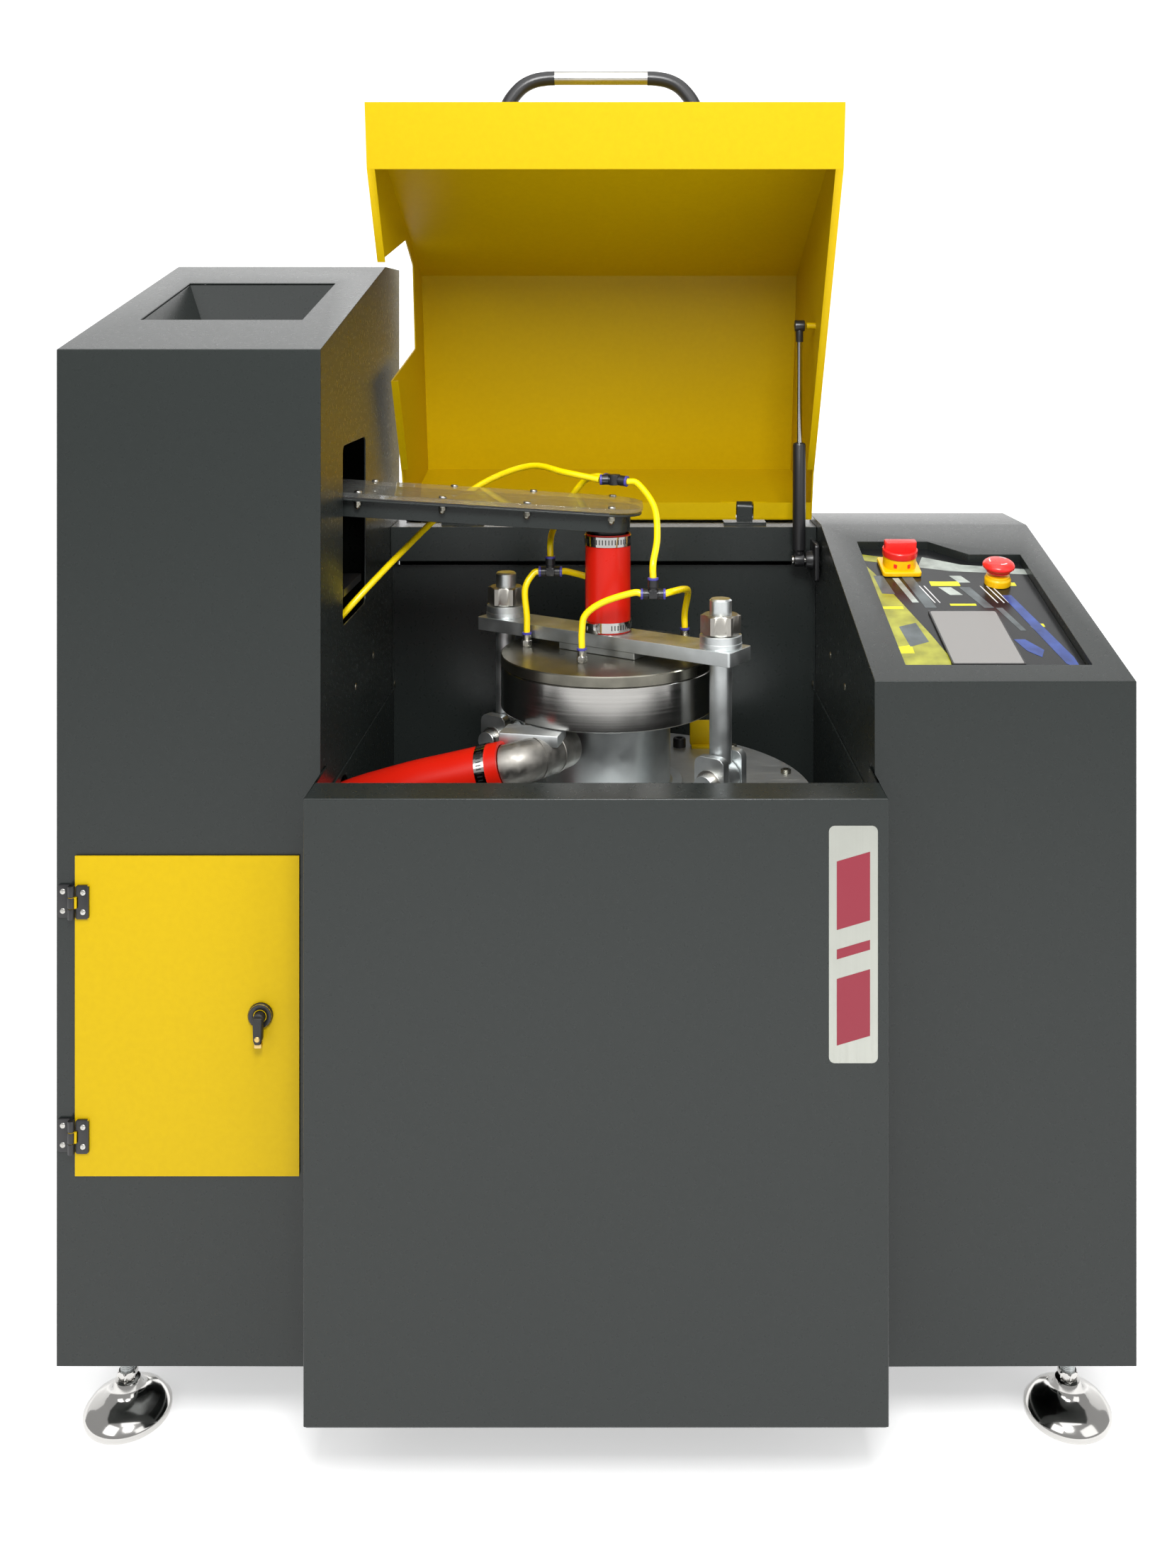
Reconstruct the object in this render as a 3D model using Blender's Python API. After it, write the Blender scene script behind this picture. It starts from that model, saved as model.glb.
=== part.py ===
"""Enclosed vibratory disc mill with a feed tower, a lidded grinding well and a control console.

Metres. X runs right, Y runs back from the cabinets' front plane and Z up from their underside. Every
object hangs from one empty, "machine", which puts the origin at the bottom centre of the whole machine.
The lid is modelled closed about its hinge and hangs open from an empty on the hinge axis.
"""

import math

import bmesh
import bpy
from mathutils import Matrix, Vector

# Cabinets
FOOT_HEIGHT = 0.097
FRONT_PLANE_Y = -0.3194
SHEET = 0.002
GAP = 0.0005
TOWER_X = (-0.585, -0.299)
WELL_X = (-0.299, 0.301)
CONSOLE_X = (0.301, 0.585)
DEPTH = 0.540
BEND_Y = 0.420
TOWER_Z = (1.1015, 1.2075)
CONSOLE_Z = (0.742, 0.852)
COVER_Y = -0.0866
COVER_Z = 0.644
COVER_FLANGE = 0.051
RAIL = 0.040
DECK_Z = (0.290, 0.298)
DOOR_X = (-0.564, -0.3215)
DOOR_Z = (0.208, 0.554)
DOOR_HINGE = Vector((-0.5665, -0.0065, 0.0))
LATCH = Vector((-0.363, 0.0, 0.3826))

# Feed
VESSEL_X = 0.010
VESSEL_Y = 0.195
FEED_SLOPE = math.radians(3.55)
FEED_Z = 0.9046
FEED_X = (-0.530, 0.041)
FEED_HALF = 0.065
FLANGE = 0.0025
FLANGE_REACH = 0.013
HOPPER_X = -0.443
HOPPER_Y = 0.224
HOPPER_MOUTH = 0.190

# Grinding unit
PLATE_R = 0.250
PLATE_Z = (0.548, 0.562)
BOWL_R = 0.130
BOWL_Z = (0.666, 0.7177)
BOWL_LID_Z = (0.718, 0.7305)
BAR_Z = (0.7388, 0.755)
BAR_TURN = math.radians(-33.6)
STUD_X = 0.158
STUD_R = 0.013
STUD_TOP = 0.811
HOSE_R = 0.02825
HOSE_BORE = 0.026
TUBE_R = 0.004
AIR_PORTS = {
    "left": (-0.0906, 0.220), "front": (-0.020, 0.135), "back": (0.030, 0.270), "right": (0.106, 0.246)
}
PORT_TOP = BOWL_LID_Z[1] + 0.0165 + 3 * GAP
LEFT_TEE = Vector((-0.062, 0.230, 0.8206))
RIGHT_TEE = Vector((0.0637, 0.123, 0.813))
UNION = Vector((0.0176, 0.212, 0.937))

# Lid, in its closed position
HINGE = Vector((0.0, 0.495, 0.866))
LID_OPEN = math.radians(79.5)
LID_X = (-0.284, 0.2975)
LID_PROFILE = (
    (0.510, 0.856), (0.508, 1.098), (0.191, 1.080), (-0.085, 0.650), (-0.005, 0.650), (0.440, 0.846)
)
RIM = 0.010
STRUT_X = 0.2735
STRUT_LOW = Vector((STRUT_X, 0.440, 0.800))
STRUT_HIGH = Vector((STRUT_X, 0.433, 1.126))
BEAM_Z = (0.795, 0.843)

# Console panel, measured along its slope
SLOPE = math.atan2(CONSOLE_Z[1] - CONSOLE_Z[0], BEND_Y)
RECESS = 0.011
PANEL = ((0.342, 0.0374), (0.549, 0.0374), (0.549, 0.334), (0.482, 0.334), (0.436, 0.3757), (0.342, 0.3757))
SWITCH_AT = (0.3865, 0.312)
ESTOP_AT = (0.503, 0.268)

# Free hoses, along the middle
DISCHARGE_ROUTE = [
    Vector(p)
    for p in (
        (-0.104, 0.0535, 0.633),
        (-0.160, 0.0660, 0.6170),
        (-0.220, 0.0830, 0.5985),
        (-0.300, 0.1090, 0.5660),
        (-0.362, 0.1370, 0.5180),
        (-0.402, 0.1680, 0.4500),
        (-0.418, 0.1940, 0.3760),
    )
]
SUPPLY_ROUTE = [
    Vector(p)
    for p in (
        (-0.0006, 0.2120, 0.9370),
        (-0.045, 0.2320, 0.9440),
        (-0.090, 0.2720, 0.9480),
        (-0.150, 0.2880, 0.9250),
        (-0.205, 0.2740, 0.8850),
        (-0.250, 0.2250, 0.8420),
        (-0.299, 0.1780, 0.7900),
        (-0.345, 0.1850, 0.7350),
        (-0.385, 0.2450, 0.6700),
        (-0.415, 0.3300, 0.5700),
        (-0.432, 0.4050, 0.4500),
        (-0.440, 0.4650, 0.3500),
        (-0.440, 0.5050, 0.3050),
        (-0.440, 0.5374, 0.3000),
    )
]

materials = {}


def material(name, colour, roughness, metallic=0.0):
    """One Principled material for each name."""
    if name not in materials:
        made = bpy.data.materials.new(name)
        made.use_nodes = True
        shader = made.node_tree.nodes["Principled BSDF"]
        shader.inputs["Base Color"].default_value = (*colour, 1.0)
        shader.inputs["Roughness"].default_value = roughness
        shader.inputs["Metallic"].default_value = metallic
        materials[name] = made
    return materials[name]


def grey():
    return material("anthracite_paint", (0.055, 0.060, 0.066), 0.42)


def yellow():
    return material("yellow_paint", (0.80, 0.55, 0.0), 0.38)


def steel():
    return material("steel", (0.56, 0.57, 0.58), 0.30, 1.0)


def black():
    return material("black_plastic", (0.02, 0.02, 0.022), 0.45)


def red():
    return material("red_silicone", (0.70, 0.02, 0.015), 0.45)


def air_yellow():
    return material("air_tube", (0.90, 0.62, 0.0), 0.35)


def vectors(*points):
    return [Vector(p) for p in points]


def empty(name, parent=None, at=(0, 0, 0), turn=(0, 0, 0)):
    made = bpy.data.objects.new(name, None)
    bpy.context.scene.collection.objects.link(made)
    made.parent = parent
    made.location = at
    made.rotation_euler = turn
    return made


def add(name, mesh, finish, parent, origin=(0, 0, 0), smooth=True):
    """Links a mesh as an object whose own origin is at a point of its parent's space."""
    mesh.materials.append(finish)
    if smooth:
        mesh.shade_smooth()
        mesh.set_sharp_from_angle(angle=math.radians(35))
    made = bpy.data.objects.new(name, mesh)
    bpy.context.scene.collection.objects.link(made)
    made.parent = parent
    mesh.transform(Matrix.Translation(-Vector(origin)))
    made.location = origin
    return made


def to_mesh(bm, name):
    bmesh.ops.recalc_face_normals(bm, faces=bm.faces)
    mesh = bpy.data.meshes.new(name)
    bm.to_mesh(mesh)
    bm.free()
    return mesh


def helper(obj):
    """A solid that only shapes another one: it isn't part of the machine."""
    obj.hide_render = True
    obj.display_type = "WIRE"
    return obj


def boolean(obj, other, operation):
    step = obj.modifiers.new(operation.lower(), "BOOLEAN")
    step.operation = operation
    step.solver = "EXACT"
    step.object = helper(other)
    return obj


def cut(obj, *others):
    for other in others:
        boolean(obj, other, "DIFFERENCE")
    return obj


def join(obj, *others):
    for other in others:
        boolean(obj, other, "UNION")
    return obj


def prism(name, outline, axis, low, high, finish, parent, origin=(0, 0, 0)):
    """An outline extruded along an axis: X takes (y, z) points, Y takes (x, z) and Z takes (x, y)."""
    places = {
        "X": lambda a, b, c: (c, a, b),
        "Y": lambda a, b, c: (a, c, b),
        "Z": lambda a, b, c: (a, b, c),
    }
    bm = bmesh.new()
    face = bm.faces.new([bm.verts.new(places[axis](a, b, low)) for a, b in outline])
    made = bmesh.ops.extrude_face_region(bm, geom=[face])
    verts = [v for v in made["geom"] if isinstance(v, bmesh.types.BMVert)]
    bmesh.ops.translate(bm, verts=verts, vec=Vector(places[axis](0, 0, high - low)))
    return add(name, to_mesh(bm, name), finish, parent, origin)


def box(name, low, high, finish, parent, origin=(0, 0, 0)):
    outline = ((low[0], low[1]), (high[0], low[1]), (high[0], high[1]), (low[0], high[1]))
    return prism(name, outline, "Z", low[2], high[2], finish, parent, origin)


def rounded(low, high, radius, steps=4):
    """A rectangle's outline with round corners."""
    corners = (
        (high[0] - radius, high[1] - radius, 0),
        (low[0] + radius, high[1] - radius, 90),
        (low[0] + radius, low[1] + radius, 180),
        (high[0] - radius, low[1] + radius, 270),
    )
    points = []
    for x, y, start in corners:
        for i in range(steps + 1):
            angle = math.radians(start + 90 * i / steps)
            points.append((x + radius * math.cos(angle), y + radius * math.sin(angle)))
    return points


def offset(outline, by):
    """An anticlockwise outline moved outwards by a distance."""
    points = [Vector(p) for p in outline]
    moved = []
    for before, here, after in zip(points[-1:] + points[:-1], points, points[1:] + points[:1]):
        a, b = (here - before).normalized(), (after - here).normalized()
        moved.append(here + Vector((a.y + b.y, -a.x - b.x)) * by / (1 + a.dot(b)))
    return moved


def circle(x, y, radius, sides, start=0.0):
    turns = [start + 2 * math.pi * i / sides for i in range(sides)]
    return [(x + radius * math.cos(t), y + radius * math.sin(t)) for t in turns]


def turned(name, profile, centre, finish, parent, sides=32, axis="Z", closed=False, origin=(0, 0, 0)):
    """A profile of (radius, height) points spun about an axis through centre."""
    bm = bmesh.new()
    points = [bm.verts.new((r, 0, h)) for r, h in profile]
    edges = [bm.edges.new(pair) for pair in zip(points, points[1:])]
    if closed:
        edges.append(bm.edges.new((points[-1], points[0])))
    bmesh.ops.spin(
        bm, geom=points + edges, angle=2 * math.pi, steps=sides, axis=(0, 0, 1), cent=(0, 0, 0), use_merge=True
    )
    bmesh.ops.remove_doubles(bm, verts=bm.verts, dist=1e-6)
    tilt = {
        "Z": Matrix.Identity(4),
        "X": Matrix.Rotation(math.pi / 2, 4, "Y"),
        "Y": Matrix.Rotation(-math.pi / 2, 4, "X"),
    }[axis]
    bm.transform(Matrix.Translation(Vector(centre)) @ tilt)
    return add(name, to_mesh(bm, name), finish, parent, origin)


def disc(name, centre, radius, length, finish, parent, sides=24, axis="Z", origin=(0, 0, 0)):
    profile = ((0, 0), (radius, 0), (radius, length), (0, length))
    return turned(name, profile, centre, finish, parent, sides, axis, origin=origin)


def ring(name, centre, outer, inner, length, finish, parent, sides=24, axis="Z", origin=(0, 0, 0)):
    profile = ((inner, 0), (outer, 0), (outer, length), (inner, length))
    return turned(name, profile, centre, finish, parent, sides, axis, closed=True, origin=origin)


def smooth_path(points, count):
    """Evenly numbered points on a Catmull-Rom curve through the given ones."""
    ends = [2 * points[0] - points[1], *points, 2 * points[-1] - points[-2]]
    spans = len(points) - 1
    path = []
    for i in range(count):
        t = spans * i / (count - 1)
        k = min(int(t), spans - 1)
        a, b, c, d = ends[k : k + 4]
        u = t - k
        path.append(
            0.5 * (2 * b + (c - a) * u + (2 * a - 5 * b + 4 * c - d) * u**2 + (3 * b - a - 3 * c + d) * u**3)
        )
    return path


def sweep(name, path, radius, finish, parent, sides=10, bore=None, origin=(0, 0, 0)):
    """A round bar along a path, or a pipe when it has a bore."""
    bm = bmesh.new()
    side = Vector((0, 0, 1))
    rings = {radius: []}
    if bore:
        rings[bore] = []
    for i, point in enumerate(path):
        along = (path[min(i + 1, len(path) - 1)] - path[max(i - 1, 0)]).normalized()
        if i == 0 and abs(along.z) > 0.9:
            side = Vector((1, 0, 0))
        side = (side - along * side.dot(along)).normalized()
        across = along.cross(side)
        for r, loops in rings.items():
            turns = [2 * math.pi * k / sides for k in range(sides)]
            loops.append(
                [bm.verts.new(point + r * (side * math.cos(t) + across * math.sin(t))) for t in turns]
            )
    for loops in rings.values():
        for a, b in zip(loops, loops[1:]):
            for k in range(sides):
                bm.faces.new((a[k], a[(k + 1) % sides], b[(k + 1) % sides], b[k]))
    for end in (0, -1):
        if bore:
            a, b = rings[radius][end], rings[bore][end]
            for k in range(sides):
                bm.faces.new((a[k], a[(k + 1) % sides], b[(k + 1) % sides], b[k]))
        else:
            bm.faces.new(rings[radius][end])
    return add(name, to_mesh(bm, name), finish, parent, origin)


def tube(name, path, radius, finish, parent):
    """A free hose or tube as one solid curve along its whole length."""
    curve = bpy.data.curves.new(name, "CURVE")
    curve.dimensions = "3D"
    curve.bevel_depth = radius
    curve.bevel_resolution = 3
    curve.use_fill_caps = True
    spline = curve.splines.new("POLY")
    spline.points.add(len(path) - 1)
    for point, place in zip(spline.points, path):
        point.co = (*place, 1.0)
    curve.materials.append(finish)
    made = bpy.data.objects.new(name, curve)
    bpy.context.scene.collection.objects.link(made)
    made.parent = parent
    return made


def cabinet_profile(heights, inset=0.0, past=0.0):
    """The side outline of a cabinet, or of its inside when inset, run past its open back and bottom."""
    slope = math.atan2(heights[1] - heights[0], BEND_Y)
    front = heights[0] + inset * math.tan(slope) - inset / math.cos(slope)
    top = heights[1] - inset
    bend = BEND_Y + inset * math.tan(slope / 2)
    return ((inset, -past), (DEPTH + past, -past), (DEPTH + past, top), (bend, top), (inset, front))


def cabinet(name, span, heights, machine):
    """A folded shell, open at the back and underneath, notched for the frame's long rails."""
    shell = prism(name, cabinet_profile(heights), "X", *span, grey(), machine)
    inside = cabinet_profile(heights, SHEET, 0.02)
    cut(shell, prism(name + "_inside", inside, "X", span[0] + SHEET, span[1] - SHEET, grey(), machine))
    return shell


def rail_notches(name, x, machine):
    """Room for the two long rails where a cabinet's inner wall crosses them."""
    for label, y in (("front", 0.002), ("rear", DEPTH - 0.004 - RAIL)):
        low = (x - 0.01, y - 0.001, -0.01)
        high = (x + 0.01, y + RAIL + 0.002, RAIL + 0.004)
        yield box(f"{name}_{label}_notch", low, high, grey(), machine)


def base_frame(machine):
    """Two long rails, cross rails, and four posts under the spring deck, welded as one."""
    low_z, high_z = 0.001, RAIL
    rear = DEPTH - 0.0035
    frame = box("base_frame", (-0.5825, 0.0025, low_z), (0.5825, 0.0025 + RAIL, high_z), grey(), machine)
    parts = [box("rear_rail", (-0.5825, rear - RAIL, low_z), (0.5825, rear, high_z), grey(), machine)]
    for i, x in enumerate((-0.5625, -0.324, 0.326, 0.5625)):
        low = (x - RAIL / 2, 0.01, low_z)
        parts.append(box(f"cross_rail_{i}", low, (x + RAIL / 2, rear - 0.01, high_z), grey(), machine))
    for i, (x, y) in enumerate(
        ((-0.25, 0.0025), (0.252, 0.0025), (-0.25, rear - RAIL), (0.252, rear - RAIL))
    ):
        low = (x - RAIL / 2, y, high_z - 0.01)
        parts.append(box(f"post_{i}", low, (x + RAIL / 2, y + RAIL, DECK_Z[0] + 0.004), grey(), machine))
    parts.append(
        box("spring_deck", (-0.29, 0.0025, DECK_Z[0]), (0.292, rear - 0.04, DECK_Z[1]), grey(), machine)
    )
    join(frame, *parts)
    cut(frame, disc("deck_hole", (VESSEL_X, VESSEL_Y, 0.28), 0.135, 0.03, grey(), machine, 32))
    return frame


def feet(machine):
    """Four levelling feet, each a domed pad on a threaded spindle with its lock nut."""
    chrome = material("polished_steel", (0.62, 0.62, 0.62), 0.12, 1.0)
    low = -FOOT_HEIGHT
    for name, x, y in (
        ("foot_front_left", -0.529, 0.061),
        ("foot_front_right", 0.529, 0.061),
        ("foot_rear_left", -0.529, 0.480),
        ("foot_rear_right", 0.529, 0.480),
    ):
        profile = (
            (0, low),
            (0.044, low),
            (0.048, low + 0.004),
            (0.046, low + 0.011),
            (0.024, low + 0.020),
            (0.015, low + 0.030),
            (0.015, low + 0.040),
            (0.008, low + 0.042),
            (0.008, -GAP),
            (0, -GAP),
        )
        turned(name, profile, (x, y, 0), chrome, machine, 20)


def tower(machine):
    shell = cabinet("tower_shell", TOWER_X, TOWER_Z, machine)
    half = HOPPER_MOUTH / 2
    mouth_low = (HOPPER_X - half, HOPPER_Y - half, 1.0)
    mouth = box("hopper_mouth", mouth_low, (HOPPER_X + half, HOPPER_Y + half, 1.3), grey(), machine)
    doorway_low = (DOOR_X[0] + 0.012, -0.02, DOOR_Z[0] + 0.012)
    doorway = box("doorway", doorway_low, (DOOR_X[1] - 0.009, 0.02, DOOR_Z[1] - 0.012), grey(), machine)
    slot = prism(
        "feeder_slot", rounded((0.122, 0.775), (0.268, 0.986), 0.010, 3), "X", -0.31, -0.29, grey(), machine
    )
    hose_hole = disc("hose_hole", (-0.31, 0.109, 0.567), 0.038, 0.03, grey(), machine, 24, "X")
    cut(shell, mouth, doorway, slot, hose_hole, *rail_notches("tower", TOWER_X[1], machine))
    back = box(
        "tower_back_panel",
        (TOWER_X[0] + SHEET + GAP, DEPTH - SHEET, 0.002),
        (TOWER_X[1] - SHEET - GAP, DEPTH, TOWER_Z[1] - SHEET - GAP),
        grey(),
        machine,
    )
    fitting = disc("air_bulkhead", (-0.44, DEPTH - 0.001, 0.30), 0.012, 0.018, steel(), machine, 16, "Y")
    join(back, fitting)
    shelf = box("sample_shelf", (-0.5825, 0.025, 0.196), (-0.3015, 0.50, 0.200), grey(), machine)
    return shell, shelf


def hopper(machine):
    """A funnel from the tower's sloped mouth down to the feeder."""
    slope = math.atan2(TOWER_Z[1] - TOWER_Z[0], BEND_Y)
    out_x, out_y, out_z, out_half = -0.405, VESSEL_Y, 0.946, 0.030
    half = HOPPER_MOUTH / 2 - GAP
    drop = SHEET / math.cos(slope) + GAP
    bm = bmesh.new()
    loops = []
    for inset in (0.0, SHEET):
        top, bottom = [], []
        for sx, sy in ((-1, -1), (1, -1), (1, 1), (-1, 1)):
            x, y = HOPPER_X + sx * (half + SHEET - inset), HOPPER_Y + sy * (half + SHEET - inset)
            z = TOWER_Z[0] + y * math.tan(slope) - drop
            top.append(bm.verts.new((x, y, z)))
            reach = out_half + SHEET - inset
            bottom.append(bm.verts.new((out_x + sx * reach, out_y + sy * reach, out_z)))
        loops.append((top, bottom))
    for k in range(4):
        n = (k + 1) % 4
        (outer_top, outer_low), (inner_top, inner_low) = loops
        bm.faces.new((outer_top[k], outer_top[n], outer_low[n], outer_low[k]))
        bm.faces.new((inner_top[k], inner_top[n], inner_low[n], inner_low[k]))
        bm.faces.new((outer_top[k], outer_top[n], inner_top[n], inner_top[k]))
        bm.faces.new((outer_low[k], outer_low[n], inner_low[n], inner_low[k]))
    return add("hopper", to_mesh(bm, "hopper"), grey(), machine)


def feeder(machine):
    """The vibrating trough with its clear cover, and the magnetic drive that shakes it."""
    line = empty("feeder_line", machine, (VESSEL_X, VESSEL_Y, FEED_Z), (0, FEED_SLOPE, 0))
    low, high = FEED_X[0], FEED_X[1]

    def outline(grow):
        """The arm's plan: square at the tower end, round at the vessel end."""
        points = [(low - grow, -FEED_HALF - grow)]
        radius = 0.042 + grow
        for sign, start in ((-1, -90), (1, 0)):
            for i in range(6):
                angle = math.radians(start + 90 * i / 5)
                centre = (high - 0.042, sign * (FEED_HALF - 0.042))
                points.append((centre[0] + radius * math.cos(angle), centre[1] + radius * math.sin(angle)))
        points.append((low - grow, FEED_HALF + grow))
        return points

    trough = prism("feeder_trough", outline(0), "Z", -FLANGE, 0.0, grey(), line)
    join(trough, prism("trough_walls", outline(-FLANGE_REACH), "Z", -0.023, -0.001, grey(), line))
    spout = disc("feeder_spout", (VESSEL_X, VESSEL_Y, 0.852), 0.022, 0.034, grey(), machine, 24)
    join(trough, spout)
    cut(trough, prism("trough_inside", outline(-FLANGE_REACH - 0.002), "Z", -0.021, 0.01, grey(), line))
    cut(trough, disc("spout_bore", (VESSEL_X, VESSEL_Y, 0.84), 0.019, 0.055, grey(), machine, 24))
    clear = material("clear_cover", (0.55, 0.56, 0.55), 0.06)
    cover = prism("feeder_cover", outline(0.0015), "Z", 0.002, 0.007, clear, line)
    cut(cover, box("feed_hole", (-0.450, -0.035, 0), (-0.380, 0.035, 0.02), clear, line))
    drive = box("feeder_drive", (-0.480, 0.150, 0.814), (-0.360, 0.240, 0.8975), black(), machine)
    join(drive, box("drive_base", (-0.5825, 0.140, 0.806), (-0.3015, 0.250, 0.815), grey(), machine))


def console(machine):
    shell = cabinet("console_shell", CONSOLE_X, CONSOLE_Z, machine)
    plane = empty("console_plane", machine, (0, 0, CONSOLE_Z[0]), (SLOPE, 0, 0))
    join(shell, prism("recess_wall", offset(PANEL, SHEET), "Z", -RECESS - 0.004, -0.001, grey(), plane))
    cut(shell, prism("recess", PANEL, "Z", -0.03, 0.01, grey(), plane))
    cut(shell, *rail_notches("console", CONSOLE_X[0], machine))
    artwork = material("control_plate", (0.05, 0.06, 0.07), 0.25)
    plate = prism("control_plate", offset(PANEL, -GAP), "Z", -RECESS - 0.003, -RECESS, artwork, plane)
    glass = material("screen", (0.33, 0.33, 0.33), 0.18)
    low, high = (0.400, 0.056), (0.480, 0.187)
    top = -RECESS + 0.0025
    prism("touchscreen", rounded(low, high, 0.003, 2), "Z", -RECESS + GAP, top, glass, plane)
    controls(plane, plate)
    back = box(
        "console_back_panel",
        (CONSOLE_X[0] + SHEET + GAP, DEPTH - SHEET, 0.002),
        (CONSOLE_X[1] - SHEET - GAP, DEPTH, CONSOLE_Z[1] - SHEET - GAP),
        grey(),
        machine,
    )
    join(back, disc("cable_gland", (0.443, DEPTH - 0.001, 0.16), 0.014, 0.022, black(), machine, 12, "Y"))


def controls(plane, plate):
    """The main switch and the emergency stop, on stems through the plate."""
    base_n = -RECESS + GAP
    x, s = SWITCH_AT
    yellow_base = material("switch_yellow", (0.85, 0.60, 0.0), 0.35)
    outline = rounded((x - 0.025, s - 0.025), (x + 0.025, s + 0.025), 0.004, 2)
    switch = prism("switch_base", outline, "Z", base_n, base_n + 0.006, yellow_base, plane)
    join(switch, disc("switch_collar", (x, s, base_n + 0.004), 0.021, 0.016, yellow_base, plane, 24))
    knob_n = base_n + 0.0205
    knob_red = material("knob_red", (0.75, 0.03, 0.01), 0.32)
    knob = disc("switch_knob", (x, s, knob_n), 0.0225, 0.006, knob_red, plane, 24, origin=(x, s, knob_n))
    grip = box(
        "knob_grip",
        (x - 0.021, s - 0.006, knob_n + 0.003),
        (x + 0.021, s + 0.006, knob_n + 0.019),
        knob_red,
        plane,
    )
    join(knob, grip)
    x, s = ESTOP_AT
    profile = ((0.0, 0), (0.0165, 0), (0.0165, 0.006), (0.0145, 0.0125), (0.0, 0.0125))
    turned("estop_base", profile, (x, s, base_n), yellow_base, plane, 24)
    head_n = base_n + 0.0175
    profile = ((0, 0), (0.0195, 0), (0.020, 0.003), (0.018, 0.010), (0.012, 0.0135), (0, 0.0145))
    turned("estop_button", profile, (x, s, head_n), knob_red, plane, 24, origin=(x, s, head_n))
    return plate


def well(machine):
    """Front cover, liner, rear beam with the lid hinges and the strut bracket, and rear panel."""
    low, high = (WELL_X[0] + GAP, COVER_Y, 0.001), (WELL_X[1] - GAP, 0.024, COVER_Z)
    cover = box("front_cover", low, high, grey(), machine)
    inside_low = (low[0] + SHEET, low[1] + SHEET, -0.02)
    inside = box("cover_inside", inside_low, (high[0] - SHEET, 0.05, COVER_Z - SHEET), grey(), machine)
    mouth_low = (low[0] + SHEET, COVER_Y + COVER_FLANGE, 0.5)
    mouth = box("cover_mouth", mouth_low, (high[0] - SHEET, 0.05, 0.7), grey(), machine)
    rail_low = (-0.4, 0.0015, -0.01)
    cut(cover, inside, mouth, box("cover_rail_notch", rail_low, (0.4, 0.06, RAIL + 0.003), grey(), machine))

    left, right, rear = WELL_X[0] + GAP, WELL_X[1] - GAP, 0.478
    liner = box("well_liner", (left, 0.0255, 0.302), (right, rear, 0.787), grey(), machine)
    hollow = box(
        "liner_inside", (left + SHEET, -0.1, 0.2), (right - SHEET, rear - SHEET, 0.9), grey(), machine
    )
    top = box("liner_top", (-0.4, -0.1, 0.611), (0.4, rear - 0.004, 0.9), grey(), machine)
    hole = disc("liner_hose_hole", (-0.31, 0.109, 0.567), 0.038, 0.03, grey(), machine, 24, "X")
    cut(liner, hollow, top, hole)

    beam = box("rear_beam", (left, 0.460, BEAM_Z[0]), (right, 0.535, BEAM_Z[1]), grey(), machine)
    for side, x in (("left", -0.20), ("right", 0.202)):
        name = f"lid_hinge_{side}"
        join(
            beam,
            box(name + "_foot", (x - 0.03, 0.480, 0.840), (x + 0.03, 0.510, 0.8465), grey(), machine),
            box(name + "_web", (x - 0.011, 0.486, 0.844), (x + 0.011, 0.504, HINGE.z), grey(), machine),
            disc(name + "_barrel", (x - 0.011, HINGE.y, HINGE.z), 0.009, 0.022, steel(), machine, 16, "X"),
            disc(name + "_pin", (x - 0.034, HINGE.y, HINGE.z), 0.004, 0.068, steel(), machine, 12, "X"),
        )
    plate_low = (WELL_X[1] - 0.0055, 0.412, 0.775)
    bracket = box("strut_bracket", plate_low, (WELL_X[1] - GAP, 0.457, 0.825), black(), machine)
    pin_x = STRUT_X - 0.010
    join(bracket, disc("strut_pin", (pin_x, *STRUT_LOW.yz), 0.004, 0.035, steel(), machine, 12, "X"))
    panel_low = (WELL_X[0] + GAP, DEPTH - SHEET, 0.002)
    box("well_back_panel", panel_low, (WELL_X[1] - GAP, DEPTH, 0.840), grey(), machine)


def grown_profile():
    """The lid's hollow: its profile set in by the sheet, and run out below the rim."""
    (ay, az), (by, bz), (cy, cz), (qy, qz), (py, _), _ = LID_PROFILE
    low = qz - 0.06
    return (
        (ay - SHEET, low),
        (by - SHEET, bz - SHEET),
        (cy + SHEET * 0.5, cz - SHEET),
        (qy + SHEET * 2.0, qz + SHEET),
        (py + 0.001, qz + SHEET),
        (py + 0.001, low),
    )


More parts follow.
